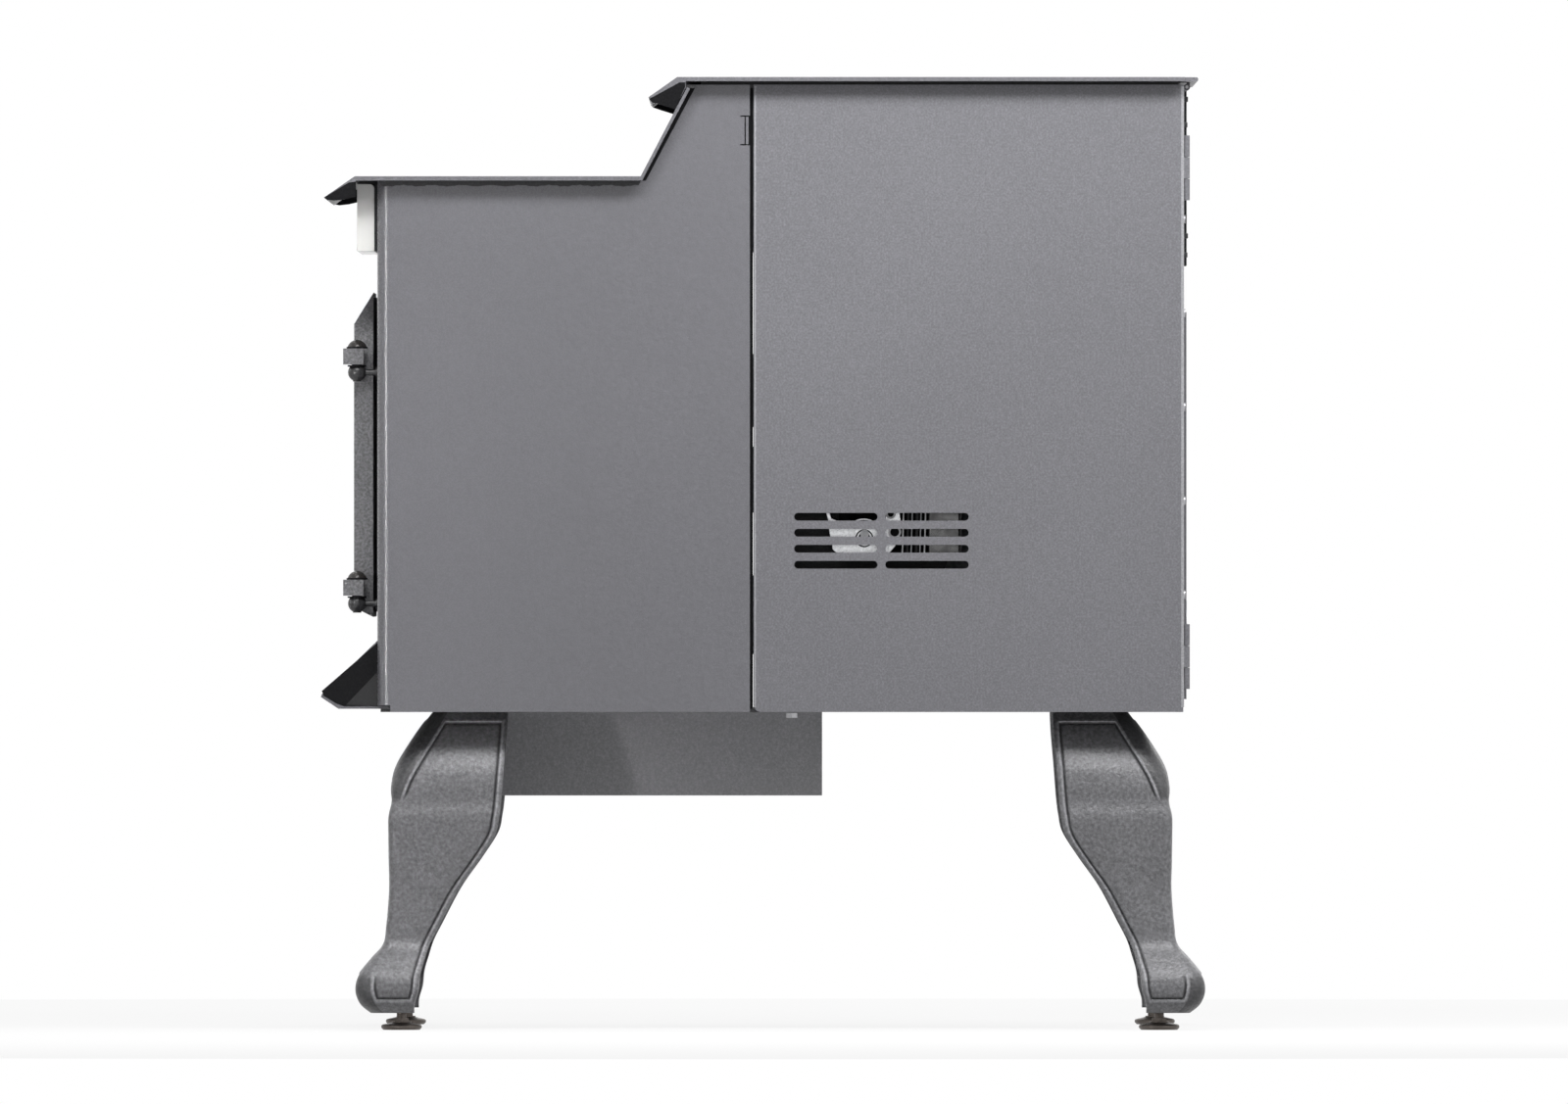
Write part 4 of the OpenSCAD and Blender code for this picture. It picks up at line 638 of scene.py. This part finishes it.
def add_legs():
    toe = max(row[1] for row in LEG_CURVE) * MM
    for side, sx in SIDES:
        for end, sy in ENDS:
            node = f"leg_{end}_{side}"
            lo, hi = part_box(node)
            mesh = leg_mesh(node + "_cast", hi.z - lo.z)
            x = (hi.x if sx > 0 else lo.x) - sx * toe
            y = (hi.y if sy > 0 else lo.y) - sy * toe
            for v in mesh.vertices:
                v.co = Vector((x - sx * v.co.x, y - sy * v.co.y, hi.z + v.co.z))
            if sx * sy < 0:
                mesh.flip_normals()
            obj = add_piece(node + "_cast", mesh, MATERIALS["cast_iron"], BODY_OF[node])
            smooth_by_angle(mesh, LEG_SMOOTH_ANGLE)
            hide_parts(node)


# Thin pieces placed by their pixels in the side view

def column_depth(px):
    """Depth, in metres, of a column of the photograph in the side plane."""
    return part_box("front_shroud")[0].y + (px - CASING_COLUMN) * PIXEL


def at_pixel(px, py):
    """Depth and height, in metres, of a pixel of the photograph in the side plane."""
    return column_depth(px), (FLOOR_ROW - py) * PIXEL


def pixel_box(left, top, right, bottom):
    """The corners of an upright rectangle of pixels."""
    return [(left, top), (right, top), (right, bottom), (left, bottom)]


PLATE_THICK = 0.25 * MM
PLATE_SUNK = 0.2 * MM


def side_plates(name, pixels, x, slot, body="stove", thick=PLATE_THICK, sunk=PLATE_SUNK, mat=None):
    """The same thin plate on the right and left faces at x, outlined in the photograph's pixels."""
    outline = [at_pixel(*pixel) for pixel in pixels]
    for side, s in SIDES:
        mesh = prism_mesh(f"{name}_{side}", outline, s * (x - sunk), s * (x + thick))
        add_piece(f"{name}_{side}", mesh, MATERIALS[mat or slot], body)


# Webs that close the ends of the folded lips, outlined for black skins of painted shade on their outer and
# inner sides
LID_WEB = [(662.3, 101.2), (693.5, 84.2), (699.3, 84.2), (699.3, 88.5), (689.2, 111.8), (672, 106.4),
           (664.8, 104)]
TOP_WEB = [(331, 201.6), (356.5, 186.2), (363.4, 185.6), (363.4, 201), (350, 204), (340.5, 204.8),
           (333.4, 204)]
WEB_THICK = 3.0 * MM
INNER_THICK = 0.2 * MM
INNER_SUNK = 0.3 * MM


def add_web_shade_skins():
    """Black skins on the webs of both lips: painted shade on their outer and inner sides."""
    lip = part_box("front_top_plate")[1].x
    for name, pixels, body in (("lid_web", LID_WEB, "lid"), ("top_web", TOP_WEB, "stove")):
        side_plates(name + "_shade_skin", pixels, lip, "black_paint", body)
        side_plates(name + "_inner", pixels, lip - WEB_THICK, "black_paint", body, INNER_THICK, INNER_SUNK)


# The end cheeks of the ash lip, black as painted shade, and the painted shadow in their corners with its
# rise over the cheek
CHEEK = [(328.2, 705.4), (385.3, 655.8), (385.3, 721), (351, 721), (343.5, 718.4), (330, 710.2)]
CHEEK_CORNER = [(353, 719.5), (385, 686), (385, 720.5)]
CHEEK_CORNER_RISE = 0.1 * MM


def add_cheek_shade_skins():
    """Dark skins of painted shade on the end cheeks of the ash lip, with a painted shadow in their corners.
    """
    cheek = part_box("ash_lip")[1].x
    side_plates("ash_cheek_shade_skin", CHEEK, cheek, "black_paint")
    raised = cheek + CHEEK_CORNER_RISE
    side_plates("ash_cheek_inner", CHEEK_CORNER, raised, "inner_steel", mat="shadow_steel")


# Outline of the black strip along the riser's edge: painted shade
RISER_SHADE = [(655.6, 184.4), (659, 184.4), (709, 90), (709.4, 86.6), (706, 86.6)]
# The painted shadow under the top plate: columns and row of its straight upper edge and of its wavy lower
# one, and the height, pace and start of each of the lower edge's waves
SEAM_TOP_COLUMNS = (386, 655)
SEAM_TOP_ROW = 181.6
SEAM_LOW_COLUMNS = range(652, 387, -4)
SEAM_LOW_ROW = 189.6
SEAM_WAVES = [(0.7, 0.21, 0.0), (0.4, 0.77, 1.3)]
# The black block under the lid's front, painted shade there: its front and rear columns, its foot, its rise
# into the lid, its inset
SHADE_BLOCK_COLUMNS = (699.4, 709)
SHADE_BLOCK_FOOT_ROW = 90
SHADE_BLOCK_RISE = 21.8 * MM
SHADE_BLOCK_INSET = 3.5 * MM


def seam_low_edge(px):
    """Row of the painted shadow's wavy lower edge at a column."""
    wave = sum(height * math.sin(px * pace + start) for height, pace, start in SEAM_WAVES)
    return SEAM_LOW_ROW + wave


def add_top_shades():
    """Black strips of painted shade along the riser and of painted shadow under the top seam, and a black
    block of painted shade under the lid's front.
    """
    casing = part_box("front_shroud")[1].x
    side_plates("riser_painted_shade", RISER_SHADE, casing, "black_paint")
    upper = [(px, SEAM_TOP_ROW) for px in SEAM_TOP_COLUMNS]
    lower = [(px, seam_low_edge(px)) for px in SEAM_LOW_COLUMNS]
    side_plates("top_seam_painted_shadow", upper + lower, casing, "inner_steel")
    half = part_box("front_top_plate")[1].x - SHADE_BLOCK_INSET
    front, foot = at_pixel(SHADE_BLOCK_COLUMNS[0], SHADE_BLOCK_FOOT_ROW)
    rear = column_depth(SHADE_BLOCK_COLUMNS[1])
    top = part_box("hopper_lid")[0].z + SHADE_BLOCK_RISE
    box_piece("lid_front_shade_block", (-half, front, foot), (half, rear, top), "rope_black")


# Columns of the rear and front hem of a side panel, their rows, and how far they stand out of the sheet
HEM_COLUMNS = {"rear": (1205.3, 1208.2), "front": (769.9, 771.3)}
HEM_TOP, HEM_BOTTOM = 88, 722
HEM_THICK = 0.15 * MM


def add_hems():
    """Folded edges of the side panels, in lighter paint as painted highlight."""
    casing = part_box("front_shroud")[1].x
    for side, s in SIDES:
        for part, (left, right) in HEM_COLUMNS.items():
            name = f"hem_{part}_{side}"
            outline = [at_pixel(*pixel) for pixel in pixel_box(left, HEM_TOP, right, HEM_BOTTOM)]
            mesh = prism_mesh(name, outline, s * (casing - PLATE_SUNK), s * (casing + HEM_THICK))
            add_piece(name, mesh, EDGE_HIGHLIGHT, f"{side}_side_panel")


# Black strips round the control panel's housing, painted shade in the gaps beside it and painted shadow
# under the top plate: their thickness, depth of the recess round the neck, and their insets
SHADE_STRIP_THICK = 2.9 * MM
NECK_RECESS = 7.3 * MM
SHADE_STRIP_INSET = 0.4 * MM
SHADE_STRIP_FRONT_INSET = 1.2 * MM
SHADE_STRIP_GAP = 0.1 * MM


def add_panel_shades():
    """Black strips round the neck of the control panel's housing and over its top: painted shade in the gaps
    beside it and painted shadow under the top plate.
    """
    lo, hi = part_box("control_housing")
    x = hi.x - SHADE_STRIP_INSET
    back = hi.y - SHADE_STRIP_GAP
    for side, s in SIDES:
        box_piece(f"panel_shade_{side}", (s * (x - NECK_RECESS), hi.y - SHADE_STRIP_THICK, lo.z + SHADE_STRIP_INSET),
                  (s * x, back, hi.z - SHADE_STRIP_INSET), "rope_black")
    box_piece("panel_shade_top", (-x, lo.y + SHADE_STRIP_FRONT_INSET, hi.z + SHADE_STRIP_GAP),
              (x, back, hi.z + SHADE_STRIP_THICK), "rope_black")


# The wiring cover on a rear edge: its inner and outer side, foot and top, its depth and place in the back
COVER_INNER, COVER_OUTER = 252 * MM, 268 * MM
COVER_FOOT, COVER_TOP = 716 * MM, 880 * MM
COVER_DEPTH = 3.4 * MM
COVER_SETBACK = 3.2 * MM
COVER_ROUND = 1.0 * MM
# Its clips: where they start, their height, their two depths by turns, and how far they reach past it
CLIP_FEET = [z * MM for z in (724, 742, 781, 812, 846, 870)]
CLIP_HEIGHT = 5 * MM
CLIP_DEPTHS = (4.2 * MM, 4.7 * MM)
CLIP_OVERHANG = 1 * MM
CLIP_ROUND = 0.8 * MM


def add_rear_cover():
    """Black cover of the wiring behind the hopper, with its clips, on both rear edges."""
    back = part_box("back_panel")[1].y - COVER_SETBACK
    for side, s in SIDES:
        box_piece(f"wiring_cover_{side}", (s * COVER_INNER, back, COVER_FOOT),
                  (s * COVER_OUTER, back + COVER_DEPTH, COVER_TOP), "black_paint", COVER_ROUND)
        for i, foot in enumerate(CLIP_FEET):
            box_piece(f"wiring_clip_{side}_{i}", (s * (COVER_INNER - CLIP_OVERHANG), back, foot),
                      (s * (COVER_OUTER + CLIP_OVERHANG), back + CLIP_DEPTHS[i % 2], foot + CLIP_HEIGHT),
                      "inner_steel", CLIP_ROUND)


# The motor behind the louvres: outlines, centres and radii in pixels, reaches from its face in mm

MOTOR_BRACKET = [(845.5, 538.5), (848, 534.5), (904, 534.5), (904, 519), (917.5, 519), (919.5, 534),
                 (918.5, 548), (914, 557), (905, 568), (857, 568), (849.5, 561), (849, 556.5),
                 (852, 553), (847, 548)]
MOTOR_LUG = [(842.5, 522), (846.5, 522), (848.5, 529), (855, 531.5), (853, 534.2), (845.5, 534.2)]
BRACKET_ROOT = -6.0
BRACKET_FRONT = 0.6
LUG_FRONT = 0.4
BRACKET_ROUND = 0.5 * MM
ARC_CENTER = (881.5, 549.5)
BOSS_CENTER = (882, 549.5)
# Name, centre, outer and inner radius, root and front, finish
MOTOR_RINGS = [
    ("motor_arc", ARC_CENTER, 20.5, 18.6, -5.0, 0.2, "bright_casting"),
    ("boss_groove", BOSS_CENTER, 9.2, 0.0, 0.4, 0.9, "black_paint"),
    ("boss_ring", BOSS_CENTER, 8.2, 5.9, 0.4, 1.8, "bright_casting"),
    ("boss_hub", BOSS_CENTER, 4.6, 1.4, 0.4, 2.2, "bright_casting"),
]
# Centre and radius of each bolt's head
MOTOR_BOLTS = [((909, 524.5), 3.0), ((913, 543), 4.4)]
BOLT_ROOT = 0.4
BOLT_FRONT = 1.4
WASHER_RIM = 2.2
WASHER_FRONT = 1.1
# Left column, width and finish of each lamination
LAMINATIONS = [(921.5, 1.4, "zinc"), (926, 2.2, "inner_steel"), (930.5, 1.2, "galvanised"),
               (935, 2.6, "inner_steel"), (939.5, 1.2, "galvanised"), (944, 1.4, "zinc")]
LAMINATION_TOP, LAMINATION_BOTTOM = 519, 570
LAMINATION_SLANT = 1.5
LAMINATION_ROOT = -8.0
LAMINATION_FRONTS = (-1.0, -1.5)
LAMINATION_ROUND = 0.2 * MM
CAN = pixel_box(947, 517, 981, 571)
CAN_ROOT = -30.0
CAN_FRONT = -1.5
CAN_ROUND = 3.0 * MM


def add_motor_piece(name, mesh, mat):
    """A piece that rides the motor's body."""
    node = "convection_motor"
    return add_piece(name, mesh, MATERIALS[mat], BODY_OF[node])


def motor_plate(name, pixels, root, front, mat, edge):
    """A plate on the motor's face, outlined in pixels."""
    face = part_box("convection_motor")[1].x
    mesh = prism_mesh(name, [at_pixel(*pixel) for pixel in pixels], face + root * MM, face + front * MM)
    round_edges(add_motor_piece(name, mesh, mat), edge)


def motor_ring(name, center, outer, inner, root, front, mat):
    """A ring or disc on the motor's face, its radii in pixels."""
    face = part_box("convection_motor")[1].x
    mesh = ring_mesh(name, at_pixel(*center), outer * PIXEL, inner * PIXEL,
                     face + root * MM, face + front * MM)
    add_motor_piece(name, mesh, mat)


def add_motor():
    """The die-cast bearing bracket, laminations and can that show through the louvres."""
    motor_plate("motor_bracket", MOTOR_BRACKET, BRACKET_ROOT, BRACKET_FRONT, "bright_casting", BRACKET_ROUND)
    motor_plate("motor_lug", MOTOR_LUG, BRACKET_ROOT, LUG_FRONT, "bright_casting", BRACKET_ROUND)
    for ring in MOTOR_RINGS:
        motor_ring(*ring)
    for i, (center, radius) in enumerate(MOTOR_BOLTS):
        motor_ring(f"motor_bolt_{i}", center, radius, 0.0, BOLT_ROOT, BOLT_FRONT, "black_paint")
        motor_ring(f"motor_washer_{i}", center, radius + WASHER_RIM, radius, BOLT_ROOT, WASHER_FRONT, "zinc")
    for i, (left, width, mat) in enumerate(LAMINATIONS):
        right = left + width
        pixels = [(left, LAMINATION_TOP), (right, LAMINATION_TOP),
                  (right - LAMINATION_SLANT, LAMINATION_BOTTOM),
                  (left - LAMINATION_SLANT, LAMINATION_BOTTOM)]
        front = LAMINATION_FRONTS[i % 2]
        motor_plate(f"lamination_{i}", pixels, LAMINATION_ROOT, front, mat, LAMINATION_ROUND)
    motor_plate("motor_casing", CAN, CAN_ROOT, CAN_FRONT, "casing_steel", CAN_ROUND)


# The door's hinges: height of a domed head over its lug, height of a lug, length of a pin below the low lug
DOME_RISE = 8.3 * MM
LUG_HEIGHT = 15.0 * MM
PIN_TAIL = 16.0 * MM
# Their dark joints: thickness, radius at the dome and at the ball, and drop of the lower one under the lug
JOINT_THICK = 1.6 * MM
DOME_JOINT_RADIUS = 9.9 * MM
BALL_JOINT_RADIUS = 8.9 * MM
BALL_JOINT_DROP = 2.2 * MM


def add_hinge_seams():
    """Dark joints over and under each door lug, where the dome and the ball meet it."""
    lo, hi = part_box("hinge_pins")
    x, y = (lo.x + hi.x) / 2, (lo.y + hi.y) / 2
    for hinge, lug_foot in (("high", hi.z - DOME_RISE - LUG_HEIGHT), ("low", lo.z + PIN_TAIL)):
        joints = (("dome", lug_foot + LUG_HEIGHT, DOME_JOINT_RADIUS),
                  ("ball", lug_foot - BALL_JOINT_DROP, BALL_JOINT_RADIUS))
        for end, foot, radius in joints:
            name = f"{hinge}_{end}_seam"
            mesh = disc_mesh(name, radius, JOINT_THICK, Vector((x, y, foot)))
            add_piece(name, mesh, MATERIALS["black_paint"], "door")


# Stage, light and camera; lengths in metres

WHITE = (1.0, 1.0, 1.0, 1.0)
AMBIENT = 0.11
STAGE_RADIUS = 3.0
STAGE_STEPS = 96
# Brightness of the floor to the light and to the camera, and the share of even glow that the camera sees
FLOOR_BOUNCE = 0.3
FLOOR_SEEN = 0.95
FLOOR_GLOW = 0.85
# What the lamps aim at: the right side, its front corner and the middle of the stove
SIDE = (0.3, 0.05, 0.5)
CORNER = (0.3, -0.36, 0.55)
MIDDLE = (0.0, 0.1, 0.55)
# Name, place, aim, size of the face, power in watts, spread in degrees
LAMPS = [
    ("key_right", (1.25, 0.25, 1.75), SIDE, (2.0, 0.4), 32.0, 180.0),
    ("edge_front", (2.3, -1.85, 0.9), SIDE, (0.15, 1.7), 8.0, 180.0),
    ("edge_corner", (2.3, -1.85, 0.55), CORNER, (0.1, 1.7), 0.14, 8.0),
    ("edge_rear", (1.9, 2.1, 0.9), SIDE, (0.15, 1.7), 8.0, 180.0),
    ("fill_front", (-0.6, -4.4, 2.3), MIDDLE, (4.0, 3.4), 14.0, 180.0),
    ("fill_left", (-4.2, 0.6, 2.4), MIDDLE, (4.4, 3.6), 60.0, 180.0),
    ("fill_rear", (0.0, 4.4, 2.3), MIDDLE, (4.0, 3.4), 28.0, 180.0),
    ("top", (0.0, 0.2, 4.2), MIDDLE, (3.6, 3.6), 28.0, 180.0),
]
# Width of the camera's sensor and its lens in mm, so long that the view is nearly flat, and the near limit
SENSOR = 36.0
LENS = 1150.0
NEAREST = 1.0


def white_to_the_camera(tree, white_share):
    """The share of white in what the camera, mirrors and glass see; none of it in what lights the scene."""
    path = tree.nodes.new("ShaderNodeLightPath")
    seen = maximum(tree, path.outputs["Is Camera Ray"], path.outputs["Is Glossy Ray"])
    through = maximum(tree, seen, path.outputs["Is Transmission Ray"])
    share = tree.nodes.new("ShaderNodeMath")
    share.operation = "MULTIPLY"
    share.inputs[1].default_value = white_share
    tree.links.new(through, share.inputs[0])
    return share.outputs[0]


def mix_shaders(tree, fac, first, second):
    node = tree.nodes.new("ShaderNodeMixShader")
    tree.links.new(fac, node.inputs["Fac"])
    tree.links.new(first, node.inputs[1])
    tree.links.new(second, node.inputs[2])
    return node.outputs[0]


def build_world():
    """Soft even light from all round, pure white to the camera."""
    world = bpy.data.worlds.new("studio")
    bpy.context.scene.world = world
    world.use_nodes = True
    tree = world.node_tree
    lit = tree.nodes["Background"]
    lit.inputs["Color"].default_value = WHITE
    lit.inputs["Strength"].default_value = AMBIENT
    white = tree.nodes.new("ShaderNodeBackground")
    white.inputs["Color"].default_value = WHITE
    white.inputs["Strength"].default_value = 1.0
    mixed = mix_shaders(tree, white_to_the_camera(tree, 1.0), lit.outputs[0], white.outputs[0])
    tree.links.new(mixed, tree.nodes["World Output"].inputs["Surface"])


def floor_material():
    """Matt and pale to the light, an even near-white to the camera."""
    mat, tree, shader = new_material("pale_floor")
    tint = tree.nodes.new("ShaderNodeMix")
    tint.data_type = "RGBA"
    tint.inputs["A"].default_value = (*grey(FLOOR_BOUNCE), 1)
    tint.inputs["B"].default_value = (*grey(FLOOR_SEEN), 1)
    tree.links.new(white_to_the_camera(tree, 1.0), tint.inputs["Factor"])
    tree.links.new(tint.outputs["Result"], shader.inputs["Base Color"])
    shader.inputs["Roughness"].default_value = 0.9
    glow = tree.nodes.new("ShaderNodeEmission")
    glow.inputs["Strength"].default_value = 1.0
    mixed = mix_shaders(tree, white_to_the_camera(tree, FLOOR_GLOW), shader.outputs[0], glow.outputs[0])
    tree.links.new(mixed, tree.nodes["Material Output"].inputs["Surface"])
    return mat


def build_floor():
    bm = bmesh.new()
    bmesh.ops.create_circle(bm, cap_ends=True, segments=STAGE_STEPS, radius=STAGE_RADIUS)
    floor = add_object("studio_floor", finished_mesh("studio_floor", bm))
    paint(floor, floor_material())


def add_lamp(name, place, aim, size, watts, spread):
    data = bpy.data.lights.new(name, "AREA")
    data.shape = "RECTANGLE"
    data.size, data.size_y = size
    data.energy = watts
    data.spread = math.radians(spread)
    lamp = add_object(name, data)
    lamp.location = place
    lamp.rotation_euler = (Vector(aim) - Vector(place)).to_track_quat("-Z", "Y").to_euler()


def build_camera():
    """A level camera far off to the right, as flat as the side view of the photograph."""
    data = bpy.data.cameras.new("camera")
    data.sensor_width = SENSOR
    data.lens = LENS
    distance = PHOTO_W * PIXEL * LENS / SENSOR
    data.clip_start = NEAREST
    data.clip_end = distance * 2
    camera = add_object("camera", data)
    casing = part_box("front_shroud")[1].x
    camera.location = (casing + distance, *at_pixel(PHOTO_W / 2, PHOTO_H / 2))
    camera.rotation_euler = (math.pi / 2, 0, math.pi / 2)
    bpy.context.scene.camera = camera


dress_nodes()
add_legs()
add_web_shade_skins()
add_cheek_shade_skins()
add_top_shades()
add_hems()
add_panel_shades()
add_rear_cover()
add_motor()
add_hinge_seams()
build_world()
build_floor()
for lamp_row in LAMPS:
    add_lamp(*lamp_row)
build_camera()
bpy.context.scene.view_settings.view_transform = "Standard"
